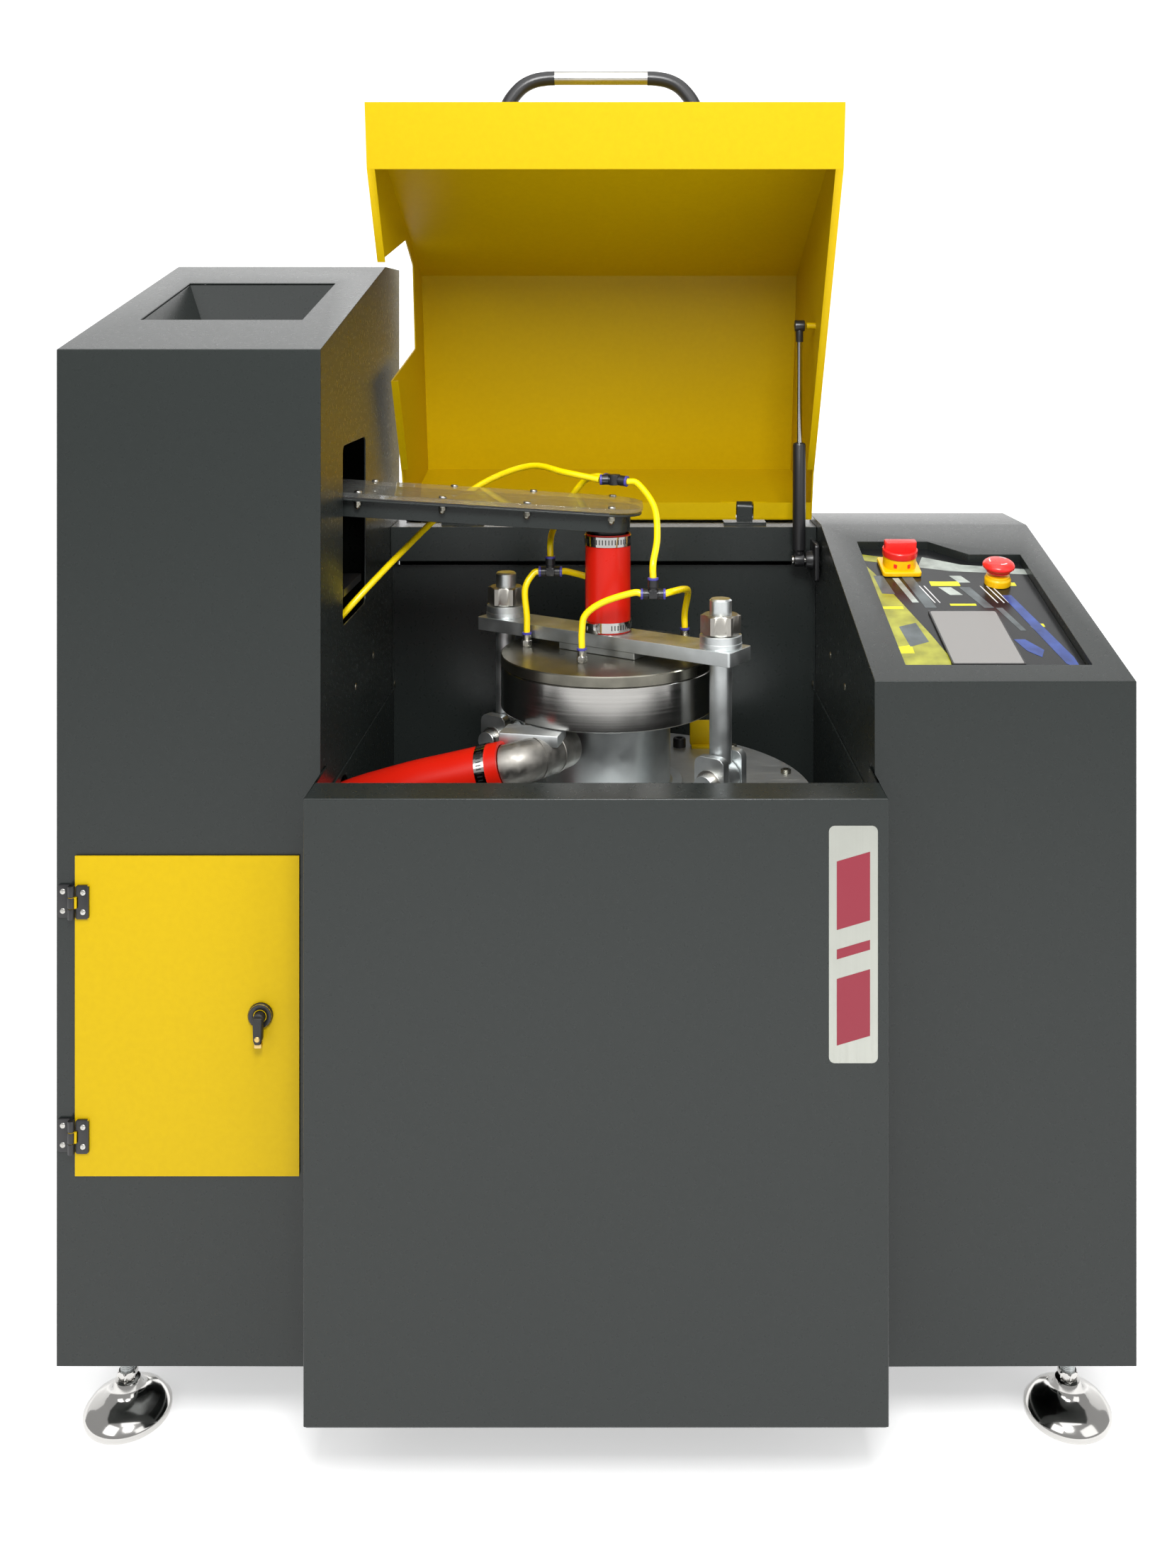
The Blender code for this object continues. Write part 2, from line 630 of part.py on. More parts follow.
def lid(machine):
    """The folded lid with its rim flanges, the notch over the feeder, and its handle."""
    pivot = empty("lid_pivot", machine, HINGE, (-LID_OPEN, 0, 0))
    closed = empty("lid_closed", pivot, -HINGE)
    (ay, az), _, _, _, (py, pz), (ey, ez) = LID_PROFILE
    shell = prism("lid", LID_PROFILE, "X", *LID_X, yellow(), closed, HINGE)
    hollow = prism("lid_hollow", grown_profile(), "X", LID_X[0] + SHEET, LID_X[1] - SHEET, yellow(), closed)
    cut(shell, hollow)
    rim = ((py, pz), (ey - 0.008, ez - 0.0036), (ey - 0.010, ez - 0.0016), (py - 0.002, pz + 0.0015))
    for side, x in (("left", LID_X[0]), ("right", LID_X[1] - RIM)):
        join(shell, prism(f"rim_{side}", rim, "X", x + 0.0002, x + RIM - 0.0002, yellow(), closed))
    low, high = (LID_X[0] + 0.0002, 0.485, 0.8562), (LID_X[1] - 0.0002, 0.5098, 0.858)
    join(shell, box("rim_rear", low, high, yellow(), closed))
    notch = ((0.118, 0.62), (0.290, 0.62), (0.290, 1.000), (0.165, 1.000), (0.118, 0.935))
    cut(shell, prism("feeder_notch", notch, "X", LID_X[0] - 0.01, LID_X[0] + RIM + 0.004, yellow(), closed))
    for side, x in (("left", -0.20), ("right", 0.202)):
        for place, low in (("inner", x - 0.0325), ("outer", x + 0.0125)):
            name = f"lid_knuckle_{side}_{place}"
            web = box(name + "_web", (low, HINGE.y, 0.860), (low + 0.020, 0.5095, 0.873), yellow(), closed)
            join(shell, web, disc(name, (low, HINGE.y, HINGE.z), 0.009, 0.020, yellow(), closed, 16, "X"))
        cut(
            shell,
            box(f"web_slot_{side}", (x - 0.0125, 0.48, 0.84), (x + 0.0125, 0.52, 0.878), yellow(), closed),
        )
        cut(
            shell,
            disc(f"pin_bore_{side}", (x - 0.036, HINGE.y, HINGE.z), 0.0046, 0.072, yellow(), closed, 12, "X"),
        )
    high = STRUT_HIGH - HINGE
    high.rotate(Matrix.Rotation(LID_OPEN, 3, "X"))
    stud = disc(
        "strut_stud", (STRUT_X + 0.0095, *(high + HINGE).yz), 0.0045, 0.0135, steel(), closed, 12, "X"
    )
    join(shell, stud)

    along = (Vector((0, *LID_PROFILE[2])) - Vector((0, *LID_PROFILE[3]))).normalized()
    normal = Vector((0, -along.z, along.y))
    foot = Vector((0, *LID_PROFILE[3])) + along * 0.040 + normal * GAP
    shape = (
        (-0.118, 0.0), (-0.118, 0.008), (-0.112, 0.026), (-0.099, 0.045), (-0.076, 0.056), (-0.030, 0.058)
    )
    shape += tuple((-x, h) for x, h in reversed(shape))
    path = [foot + Vector((x + 0.001, 0, 0)) + normal * h for x, h in shape]
    handle = sweep("lid_handle", path, 0.009, black(), closed, 10, origin=HINGE)
    return shell, handle


def strut(machine):
    """The gas strut, built upright about its lower eye: a cylinder and a rod that slides in it."""
    reach = STRUT_HIGH - STRUT_LOW
    tilt = math.atan2(-reach.y, reach.z)
    axis = empty("strut_axis", machine, STRUT_LOW, (tilt, 0, 0))
    eye = ring("strut_cylinder", (-0.007, 0, 0), 0.009, 0.0048, 0.014, black(), axis, 16, "X")
    tube = ring("strut_tube", (0, 0, 0.008), 0.009, 0.0045, 0.156, black(), axis, 16)
    join(eye, tube)
    length = reach.length
    rod = disc("strut_rod", (0, 0, 0.135), 0.004, length - 0.135, steel(), axis, 12)
    join(rod, ring("strut_socket", (-0.007, 0, length), 0.008, 0.003, 0.014, steel(), axis, 16, "X"))


def door(machine):
    """The lower door with its returns, hinge leaves and quarter-turn latch."""
    skin = box(
        "door",
        (DOOR_X[0], -0.0032, DOOR_Z[0]),
        (DOOR_X[1], -0.0012, DOOR_Z[1]),
        yellow(),
        machine,
        DOOR_HINGE,
    )
    low = (DOOR_X[0] + 0.016, -0.002, DOOR_Z[0] + 0.016)
    high = (DOOR_X[1] - 0.014, 0.014, DOOR_Z[1] - 0.016)
    returns = box("door_returns", low, high, yellow(), machine)
    inner = box(
        "door_inside",
        (low[0] + SHEET, -0.0012, low[2] + SHEET),
        (high[0] - SHEET, 0.03, high[2] - SHEET),
        yellow(),
        machine,
    )
    join(skin, returns)
    cut(skin, inner)
    x, y = DOOR_HINGE.x, DOOR_HINGE.y
    for name, z in (("upper", 0.487), ("lower", 0.234)):
        leaf = box(
            f"door_hinge_{name}", (x - 0.0165, -0.0028, z), (x - 0.002, -GAP, z + 0.036), black(), machine
        )
        for i, low_z in enumerate((z, z + 0.0245)):
            web = box(
                f"leaf_web_{name}_{i}", (x - 0.0030, y, low_z), (x, -GAP, low_z + 0.0115), black(), machine
            )
            join(
                leaf,
                web,
                disc(f"leaf_barrel_{name}_{i}", (x, y, low_z), 0.0036, 0.0115, black(), machine, 12),
            )
        join(leaf, disc(f"leaf_pin_{name}", (x, y, z - 0.004), 0.0016, 0.043, black(), machine, 10))
        join(
            skin,
            box(
                f"door_leaf_{name}",
                (x + 0.0042, -0.0058, z),
                (x + 0.018, -0.0030, z + 0.036),
                black(),
                machine,
            ),
            box(
                f"door_web_{name}",
                (x, y - 0.0016, z + 0.012),
                (x + 0.006, y + 0.0020, z + 0.024),
                black(),
                machine,
            ),
            disc(f"door_barrel_{name}", (x, y, z + 0.012), 0.0036, 0.012, black(), machine, 12),
        )
        cut(skin, disc(f"door_bore_{name}", (x, y, z + 0.010), 0.0021, 0.016, black(), machine, 10))
    bezel = disc("latch_bezel", (LATCH.x, -0.0072, LATCH.z), 0.013, 0.005, black(), machine, 20, "Y")
    join(skin, bezel)
    cut(skin, disc("latch_bore", (LATCH.x, -0.02, LATCH.z), 0.0065, 0.03, black(), machine, 16, "Y"))
    key = disc(
        "latch_key", (LATCH.x, -0.020, LATCH.z), 0.0055, 0.042, black(), machine, 14, "Y", origin=LATCH
    )
    wing = box(
        "latch_wing",
        (LATCH.x - 0.005, -0.020, LATCH.z - 0.026),
        (LATCH.x + 0.005, -0.0085, LATCH.z),
        black(),
        machine,
    )
    cam = box(
        "latch_cam",
        (LATCH.x - 0.006, 0.0185, LATCH.z - 0.040),
        (LATCH.x + 0.006, 0.0215, LATCH.z + 0.004),
        steel(),
        machine,
    )
    join(key, wing, cam)


def springs(machine):
    """Four compression springs between the deck and the vibrating plate."""
    coils, steps, mean, wire = 5, 9, 0.029, 0.004
    low, high = DECK_Z[1] + wire + GAP, PLATE_Z[0] - wire - GAP
    for i, (sx, sy) in enumerate(((-1, -1), (1, -1), (-1, 1), (1, 1))):
        centre = Vector((VESSEL_X + sx * 0.150, VESSEL_Y + sy * 0.140, 0))
        path = []
        for k in range(coils * steps + 1):
            turn = 2 * math.pi * k / steps
            z = low + (high - low) * k / (coils * steps)
            path.append(centre + Vector((mean * math.cos(turn), mean * math.sin(turn), z)))
        sweep(f"support_spring_{i + 1}", path, wire, steel(), machine, 5)


def grinding_unit(machine):
    """Everything that shakes: plate, pedestal, bowl and clamp, with the motor below."""
    at = (VESSEL_X, VESSEL_Y, 0)
    plate = disc(
        "vibrating_plate",
        (VESSEL_X, VESSEL_Y, PLATE_Z[0]),
        PLATE_R,
        PLATE_Z[1] - PLATE_Z[0],
        steel(),
        machine,
        48,
    )
    top = PLATE_Z[1] + GAP
    profile = (
        (0, top),
        (0.092, top),
        (0.092, top + 0.012),
        (0.076, top + 0.012),
        (0.076, BOWL_Z[0] - GAP),
        (0, BOWL_Z[0] - GAP),
    )
    turned("bowl_pedestal", profile, at, steel(), machine, 36)
    low, high = BOWL_Z
    profile = ((0, low), (BOWL_R, low), (BOWL_R, high), (0.112, high), (0.112, low + 0.012), (0, low + 0.012))
    turned("grinding_bowl", profile, at, steel(), machine, 40)
    ring("grinding_ring", (VESSEL_X, VESSEL_Y, low + 0.0125), 0.092, 0.066, 0.036, steel(), machine, 32)
    disc("grinding_puck", (VESSEL_X, VESSEL_Y, low + 0.0125), 0.050, 0.036, steel(), machine, 28)
    bowl_lid = material("blackened_steel", (0.045, 0.045, 0.048), 0.35, 0.8)
    low, high = BOWL_LID_Z
    profile = (
        (0.017, low),
        (BOWL_R + 0.0005, low),
        (BOWL_R + 0.0005, high - 0.001),
        (BOWL_R - 0.0005, high),
        (0.017, high),
    )
    cover = turned("bowl_lid", profile, at, bowl_lid, machine, 40, closed=True)
    for port, (x, y) in AIR_PORTS.items():
        join(cover, disc(f"air_port_{port}", (x, y, high - 0.003), 0.0055, 0.0195, steel(), machine, 6))
    clamp(machine)
    motor(machine)
    return plate


def clamp(machine):
    """The clamp bar across the bowl, its swing bolts, nuts and clevises."""
    line = empty("clamp_line", machine, (VESSEL_X, VESSEL_Y, 0), (0, 0, BAR_TURN))
    bar = prism("clamp_bar", rounded((-0.185, -0.026), (0.185, 0.026), 0.004, 2), "Z", *BAR_Z, steel(), line)
    boss = box(
        "bar_boss", (-0.055, -0.0255, BOWL_LID_Z[1] + GAP), (0.055, 0.0255, BAR_Z[0] + 0.002), steel(), line
    )
    nipple = disc("bar_nipple", (0, 0, BAR_Z[1] - 0.002), 0.0245, 0.042, steel(), line, 28)
    low = BAR_Z[1] - 0.001
    washers = [
        disc("washer_left", (-STUD_X, 0, low), 0.0245, 0.0155, steel(), line, 24),
        disc("washer_right", (STUD_X, 0, low), 0.0245, 0.0155, steel(), line, 24),
    ]
    join(bar, boss, nipple, *washers)
    cut(bar, disc("bar_bore", (0, 0, 0.70), 0.017, 0.12, steel(), line, 24))
    for side, x in (("left", -STUD_X), ("right", STUD_X)):
        cut(bar, disc(f"bar_hole_{side}", (x, 0, 0.70), 0.0145, 0.12, steel(), line, 20))
        low = PLATE_Z[1] + 0.041
        bolt = disc(f"swing_bolt_{side}", (x, 0, low), STUD_R, STUD_TOP - low, steel(), line, 20)
        join(bolt, disc(f"bolt_eye_{side}", (x, -0.0135, low), 0.019, 0.027, steel(), line, 20, "Y"))
        cut(bolt, disc(f"eye_bore_{side}", (x, -0.02, low), 0.0088, 0.04, steel(), line, 16, "Y"))
        nut_z = BAR_Z[1] + 0.0150
        nut = prism(
            f"clamp_nut_{side}",
            circle(x, 0, 0.0237, 6),
            "Z",
            nut_z,
            nut_z + 0.023,
            steel(),
            line,
            (x, 0, nut_z),
        )
        cut(nut, disc(f"nut_bore_{side}", (x, 0, 0.75), STUD_R + 0.0004, 0.06, steel(), line, 20))
        base_low = (x - 0.030, -0.034, PLATE_Z[1] + GAP)
        clevis = box(f"clevis_{side}", base_low, (x + 0.030, 0.034, PLATE_Z[1] + 0.012), steel(), line)
        for label, y in (("near", -0.0270), ("far", 0.0150)):
            shape = rounded((x - 0.0195, PLATE_Z[1] + 0.006), (x + 0.0195, PLATE_Z[1] + 0.071), 0.009, 3)
            join(clevis, prism(f"ear_{side}_{label}", shape, "Y", y, y + 0.012, steel(), line))
        join(clevis, disc(f"clevis_pin_{side}", (x, -0.035, low), 0.008, 0.070, steel(), line, 14, "Y"))
        join(clevis, disc(f"pin_head_{side}", (x, -0.041, low), 0.0125, 0.0145, steel(), line, 16, "Y"))


def motor(machine):
    """The hanging motor: a housing open below, and a rotor with its eccentric weights."""
    low, high = 0.335, PLATE_Z[0] - GAP
    paint = material("motor_paint", (0.10, 0.13, 0.16), 0.5)
    profile = ((0, high), (0.125, high), (0.125, high - 0.012), (0.100, high - 0.012), (0.100, low))
    profile += ((0.086, low), (0.086, high - 0.020), (0, high - 0.020))
    turned("motor_housing", profile, (VESSEL_X, VESSEL_Y, 0), paint, machine, 28)
    centre = (VESSEL_X, VESSEL_Y, 0)
    profile = (
        (0, high - 0.030),
        (0.015, high - 0.030),
        (0.015, 0.500),
        (0.065, 0.500),
        (0.065, 0.360),
        (0.015, 0.360),
        (0.015, 0.270),
        (0, 0.270),
    )
    rotor = turned("motor_rotor", profile, centre, steel(), machine, 24, origin=centre)
    half = [
        (VESSEL_X + 0.095 * math.cos(a), VESSEL_Y + 0.095 * math.sin(a)) for a in (
            math.pi * k / 10 for k in range(11)
        )
    ]
    weight = [(VESSEL_X - 0.030, VESSEL_Y - 0.020), (VESSEL_X + 0.030, VESSEL_Y - 0.020), *half]
    join(rotor, prism("eccentric_weight", weight, "Z", 0.300, 0.328, steel(), machine))


def air_lines(machine):
    """Two tees with their drop tubes, the union with its two risers, and the supply tube."""
    routes = {
        "left": ((-0.080, 0.225, 0.817), (-0.093, 0.221, 0.798)),
        "front": ((0.040, 0.125, 0.814), (0.005, 0.130, 0.802), (-0.016, 0.134, 0.786)),
        "back": ((-0.040, 0.238, 0.819), (-0.008, 0.258, 0.806), (0.022, 0.269, 0.788)),
        "right": ((0.084, 0.136, 0.815), (0.104, 0.175, 0.809), (0.109, 0.222, 0.796)),
    }
    tees = (("left", LEFT_TEE, ("left", "back")), ("right", RIGHT_TEE, ("front", "right")))
    for side, tee, drops in tees:
        half = Vector((0.011, 0.0065, 0.0065))
        body = box(f"air_tee_{side}", tee - half, tee + half, black(), machine)
        join(body, disc(f"tee_socket_{side}", tee, 0.0062, 0.0190, black(), machine, 10))
        for drop in drops:
            port = Vector((*AIR_PORTS[drop], PORT_TOP))
            route = vectors(tee, *routes[drop], port + Vector((0, 0, 0.018)), port)
            join(body, sweep(f"air_drop_{drop}", smooth_path(route, 14), TUBE_R, air_yellow(), machine, 7))
    half = Vector((0.015, 0.009, 0.0065))
    body = box("air_union", UNION - half, UNION + half, black(), machine)
    above, socket = Vector((0, 0, 0.032)), Vector((0, 0, 0.0208))
    left = vectors(
        UNION,
        (-0.004, 0.240, 0.938),
        (-0.022, 0.274, 0.928),
        (-0.044, 0.281, 0.898),
        (-0.060, 0.262, 0.868),
        LEFT_TEE + above,
        LEFT_TEE + socket,
    )
    right = vectors(
        UNION,
        (0.046, 0.200, 0.934),
        (0.066, 0.176, 0.908),
        (0.069, 0.146, 0.876),
        RIGHT_TEE + above,
        RIGHT_TEE + socket,
    )
    join(body, sweep("riser_left", smooth_path(left, 14), TUBE_R, air_yellow(), machine, 7))
    join(body, sweep("riser_right", smooth_path(right, 12), TUBE_R, air_yellow(), machine, 7))
    tube("air_supply_tube", smooth_path(SUPPLY_ROUTE, 60), TUBE_R, air_yellow(), machine)


def hoses(machine):
    """The inlet hose over the clamp bar's nipple, and the outlet chute with its discharge hose."""
    low, high = BAR_Z[1] + GAP, 0.874
    ring("inlet_hose", (VESSEL_X, VESSEL_Y, low), HOSE_R, HOSE_BORE, high - low, red(), machine, 28)
    start = DISCHARGE_ROUTE[0]
    along = (DISCHARGE_ROUTE[1] - start).normalized()
    bend = vectors(
        (-0.040, 0.118, 0.636), (-0.058, 0.084, 0.638), (-0.078, 0.0600, 0.638), start - along * 0.008
    )
    chute = [*smooth_path(bend, 8), start - along * 0.001]
    sweep("outlet_chute", chute, 0.0235, steel(), machine, 14, bore=0.0205)
    tube("discharge_hose", smooth_path(DISCHARGE_ROUTE, 14), HOSE_R, red(), machine)
    profile = ((0, 0.2005), (0.060, 0.2005), (0.066, 0.345), (0.063, 0.345), (0.057, 0.2035), (0, 0.2035))
    turned("sample_cup", profile, (-0.425, 0.205, 0), steel(), machine, 24)


def main():
    for old in list(bpy.data.objects):
        bpy.data.objects.remove(old)
    machine = empty("machine", None, (0, FRONT_PLANE_Y, FOOT_HEIGHT))
    base_frame(machine)
    feet(machine)
    tower(machine)
    hopper(machine)
    feeder(machine)
    console(machine)
    well(machine)
    lid(machine)
    strut(machine)
    door(machine)
    springs(machine)
    grinding_unit(machine)
    air_lines(machine)
    hoses(machine)


main()
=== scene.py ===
"""The looks of the enclosed vibratory disc mill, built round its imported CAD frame.

Places are given in the cabinets' own metres, as in the part's source: X from the middle, Y back from the
cabinets' front plane and Z up from their underside. at() turns them into the frame's coordinates.
"""

import math

import bmesh
import bpy
from mathutils import Matrix, Vector


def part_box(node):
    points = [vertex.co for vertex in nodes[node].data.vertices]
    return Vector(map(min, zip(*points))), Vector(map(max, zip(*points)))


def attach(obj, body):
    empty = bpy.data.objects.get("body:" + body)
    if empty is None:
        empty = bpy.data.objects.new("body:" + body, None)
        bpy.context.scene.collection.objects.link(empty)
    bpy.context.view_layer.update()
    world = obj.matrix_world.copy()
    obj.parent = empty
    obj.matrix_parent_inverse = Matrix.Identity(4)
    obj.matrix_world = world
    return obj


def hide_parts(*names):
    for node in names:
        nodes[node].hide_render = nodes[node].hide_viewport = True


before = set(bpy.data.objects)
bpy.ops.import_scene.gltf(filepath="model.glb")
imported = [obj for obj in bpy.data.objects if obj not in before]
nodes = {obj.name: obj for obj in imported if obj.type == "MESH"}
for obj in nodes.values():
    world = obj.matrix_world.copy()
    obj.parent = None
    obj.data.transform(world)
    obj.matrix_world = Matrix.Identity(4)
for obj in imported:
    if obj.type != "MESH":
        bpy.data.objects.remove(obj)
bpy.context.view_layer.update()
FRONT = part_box("tower_shell")[0].y
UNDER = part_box("tower_shell")[0].z
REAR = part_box("well_back_panel")[1].y

# What the frame's solids share with the pieces made here, in metres and radians
VESSEL = (0.010, 0.195)
FEED_SLOPE = math.radians(3.55)
FEED_Z = 0.9046
BAR_TURN = math.radians(-33.6)
STUD_X = 0.158
HINGE = Vector((0.0, 0.495, 0.866))
LID_OPEN = math.radians(79.5)
LID_FRONT = (Vector((0, -0.085, 0.650)), Vector((0, 0.191, 1.080)))
CONSOLE_Z = (0.742, 0.852)
CONSOLE_SLOPE = math.atan2(CONSOLE_Z[1] - CONSOLE_Z[0], 0.420)
PANEL_DEPTH = -0.011
SWITCH_AT = (0.3865, 0.312)
ESTOP_AT = (0.503, 0.268)
DOOR_PIVOT = (-0.5665, -0.0065)
LATCH_AT = (-0.363, 0.3826)
AIR_PORTS = {"left": (-0.0906, 0.220), "front": (-0.020, 0.135),
             "back": (0.030, 0.270), "right": (0.106, 0.246)}
LEFT_TEE = Vector((-0.062, 0.230, 0.8206))
RIGHT_TEE = Vector((0.0637, 0.123, 0.813))
UNION = Vector((0.0176, 0.212, 0.937))
FEET = {"front_left": (-0.529, 0.061), "front_right": (0.529, 0.061),
        "rear_left": (-0.529, 0.480), "rear_right": (0.529, 0.480)}
HINGE_HEIGHTS = {"upper": 0.487, "lower": 0.234}
TUBE_R = 0.004
GAP = 0.0005


def at(x, y, z):
    return Vector((x, FRONT + y, UNDER + z))


def moved(point):
    return at(*point)


# ---------------------------------------------------------------- materials

RAMP_STOPS = (0.05, 0.95)


class Finish:
    """A material under construction: its shader, and short ways to add nodes to it."""

    def __init__(self, name, colour, roughness, metallic=0.0, **inputs):
        self.material = bpy.data.materials.new(name)
        self.material.use_nodes = True
        self.nodes = self.material.node_tree.nodes
        self.links = self.material.node_tree.links
        self.shader = self.nodes["Principled BSDF"]
        self.colour = colour
        self.roughness = roughness
        self.set("Base Color", (*colour, 1.0))
        self.set("Roughness", roughness)
        self.set("Metallic", metallic)
        for label, value in inputs.items():
            self.set(label.replace("_", " "), value)

    def set(self, socket, value):
        self.shader.inputs[socket].default_value = value

    def noise(self, scale, detail=3.0, stretch=(1, 1, 1)):
        """Noise in the object's own metres, stretched by axis."""
        where = self.nodes.new("ShaderNodeTexCoord")
        mapping = self.nodes.new("ShaderNodeMapping")
        mapping.inputs["Scale"].default_value = stretch
        self.links.new(where.outputs["Object"], mapping.inputs["Vector"])
        made = self.nodes.new("ShaderNodeTexNoise")
        made.inputs["Scale"].default_value = scale
        made.inputs["Detail"].default_value = detail
        self.links.new(mapping.outputs["Vector"], made.inputs["Vector"])
        return made.outputs["Fac"]

    def ramp(self, value, low, high):
        """Maps a value to a pair of greys or colours between the ramp's two stops."""
        made = self.nodes.new("ShaderNodeValToRGB")
        made.color_ramp.interpolation = "EASE"
        for element, place, colour in zip(made.color_ramp.elements, RAMP_STOPS, (low, high)):
            element.position = place
            element.color = (colour,) * 3 + (1,) if isinstance(colour, float) else (*colour, 1)
        self.links.new(value, made.inputs["Fac"])
        return made.outputs["Color"]

    def vary_colour(self, value, share):
        low = tuple(c * (1 - share) for c in self.colour)
        high = tuple(min(1.0, c * (1 + share)) for c in self.colour)
        self.links.new(self.ramp(value, low, high), self.shader.inputs["Base Color"])
        return self

    def vary_roughness(self, value, spread):
        low, high = max(0.02, self.roughness - spread), min(1.0, self.roughness + spread)
        self.links.new(self.ramp(value, low, high), self.shader.inputs["Roughness"])
        return self

    def bump(self, value, strength, distance):
        made = self.nodes.new("ShaderNodeBump")
        made.inputs["Strength"].default_value = strength
        made.inputs["Distance"].default_value = distance
        self.links.new(value, made.inputs["Height"])
        self.links.new(made.outputs["Normal"], self.shader.inputs["Normal"])
        return self


def powder_coat(name, colour, roughness, grain, depth, specular):
    """Paint with a fine orange peel, and a fine grain in its colour and gloss."""
    made = Finish(name, colour, roughness, Specular_IOR_Level=specular)
    made.vary_colour(made.noise(140.0, 3.0), 0.03)
    made.vary_roughness(made.noise(160.0, 2.0), 0.015)
    made.bump(made.noise(grain, 2.0), 0.25, depth)
    return made.material


def worked_steel(name, colour, roughness, stretch, mottle=0.10, spread=0.10):
    """Bare metal with tool marks along one direction and a faint mottle."""
    made = Finish(name, colour, roughness, 1.0)
    lines = made.noise(1.0, 2.0, stretch)
    made.vary_roughness(lines, spread)
    made.bump(lines, 0.12, 0.0002)
    made.vary_colour(made.noise(24.0, 5.0), mottle)
    return made.material


def plain(name, colour, roughness, grain=900.0, depth=0.00006, **inputs):
    """Moulded plastic or rubber with a fine skin."""
    made = Finish(name, colour, roughness, **inputs)
    made.vary_roughness(made.noise(40.0, 3.0), 0.04)
    made.bump(made.noise(grain, 2.0), 0.15, depth)
    return made.material


GREY = powder_coat("anthracite_powder_coat", (0.0158, 0.0192, 0.0182), 0.28, 950.0, 0.00022, 0.36)
YELLOW = powder_coat("yellow_powder_coat", (0.52, 0.350, 0.0), 0.42, 700.0, 0.00030, 0.16)
TURNED = worked_steel("turned_steel", (0.50, 0.49, 0.47), 0.20, (2, 2, 400), spread=0.05)
PLATED = worked_steel("zinc_plated_steel", (0.66, 0.69, 0.69), 0.40, (30, 30, 30), mottle=0.22, spread=0.12)
GROUND = worked_steel("ground_steel", (0.60, 0.62, 0.62), 0.46, (25, 400, 25), mottle=0.14)
BRIGHT = worked_steel("bright_steel", (0.50, 0.49, 0.46), 0.30, (60, 60, 400), mottle=0.16, spread=0.08)
OXIDE = worked_steel("black_oxide_steel", (0.25, 0.24, 0.20), 0.30, (9, 9, 9), mottle=0.45, spread=0.12)
MACHINED = worked_steel("machined_steel", (0.40, 0.385, 0.35), 0.40, (60, 60, 60), mottle=0.18)
CHROME = worked_steel("polished_steel", (0.58, 0.57, 0.55), 0.12, (20, 20, 20), mottle=0.05, spread=0.03)
CAST = worked_steel("cast_aluminium", (0.24, 0.23, 0.21), 0.48, (120, 120, 120), mottle=0.55, spread=0.18)
BLACK = plain("black_plastic", (0.012, 0.012, 0.013), 0.34)
SOFT_BLACK = plain("black_rubber", (0.016, 0.016, 0.016), 0.6, 500.0, 0.0001)
SILICONE = plain("red_silicone", (0.52, 0.010, 0.003), 0.30, 260.0, 0.0002, Specular_IOR_Level=0.28)
TUBING = plain("yellow_air_tube", (0.92, 0.66, 0.0), 0.26, Subsurface_Weight=0.08)
BLUE = plain("blue_plastic", (0.055, 0.050, 0.30), 0.35)
SIGNAL_RED = plain("signal_red_plastic", (0.80, 0.022, 0.018), 0.28)
SIGNAL_YELLOW = plain("signal_yellow_plastic", (0.90, 0.50, 0.0), 0.30)
BRASS = worked_steel("brass", (0.55, 0.40, 0.16), 0.30, (60, 60, 60))
MOTOR = powder_coat("motor_paint", (0.035, 0.050, 0.065), 0.55, 400.0, 0.0004, 0.5)
CLEAR = Finish(
    "clear_acrylic", (0.93, 0.95, 0.93), 0.04, Transmission_Weight=0.92, IOR=1.49, Alpha=0.55
).material
PLATE_SILVER = worked_steel("silver_name_plate", (0.43, 0.44, 0.40), 0.38, (900, 4, 4), mottle=0.04)
PLATE_RED = plain("printed_red", (0.21, 0.010, 0.026), 0.4)


def printed(name, colour):
    """Ink under the panel's film, cloudy as a printed picture is."""
    made = Finish(name, colour, 0.22, Specular_IOR_Level=0.3)
    made.vary_colour(made.noise(38.0, 5.0), 0.55)
    made.vary_roughness(made.noise(60.0), 0.04)
    return made.material


FILM = plain("black_print_film", (0.010, 0.011, 0.012), 0.22, Specular_IOR_Level=0.3)
FILM_OLIVE = printed("olive_print", (0.30, 0.30, 0.03))
FILM_YELLOW = printed("yellow_print", (0.75, 0.66, 0.0))
FILM_PALE = printed("pale_print", (0.34, 0.38, 0.35))
FILM_WHITE = printed("white_print", (0.72, 0.73, 0.73))
FILM_BLUE = printed("blue_print", (0.030, 0.060, 0.24))
FILM_GREY = printed("grey_print", (0.085, 0.100, 0.105))
SCREEN = plain("screen_film", (0.235, 0.228, 0.220), 0.20, 600.0, 0.00003, Specular_IOR_Level=0.4)


# ---------------------------------------------------------------- mesh building

NUT_STEPS = 48
SHARP_FOLD = math.radians(40)


def frame_at(origin, up=(0, 0, 1), side=None):
    """A matrix whose Z runs along up and whose X lies as near side as it can."""
    z = Vector(up).normalized()
    x = Vector(side) if side else (Vector((1, 0, 0)) if abs(z.x) < 0.9 else Vector((0, 1, 0)))
    x = (x - z * x.dot(z)).normalized()
    y = z.cross(x)
    turn = Matrix((x, y, z)).transposed().to_4x4()
    return Matrix.Translation(Vector(origin)) @ turn


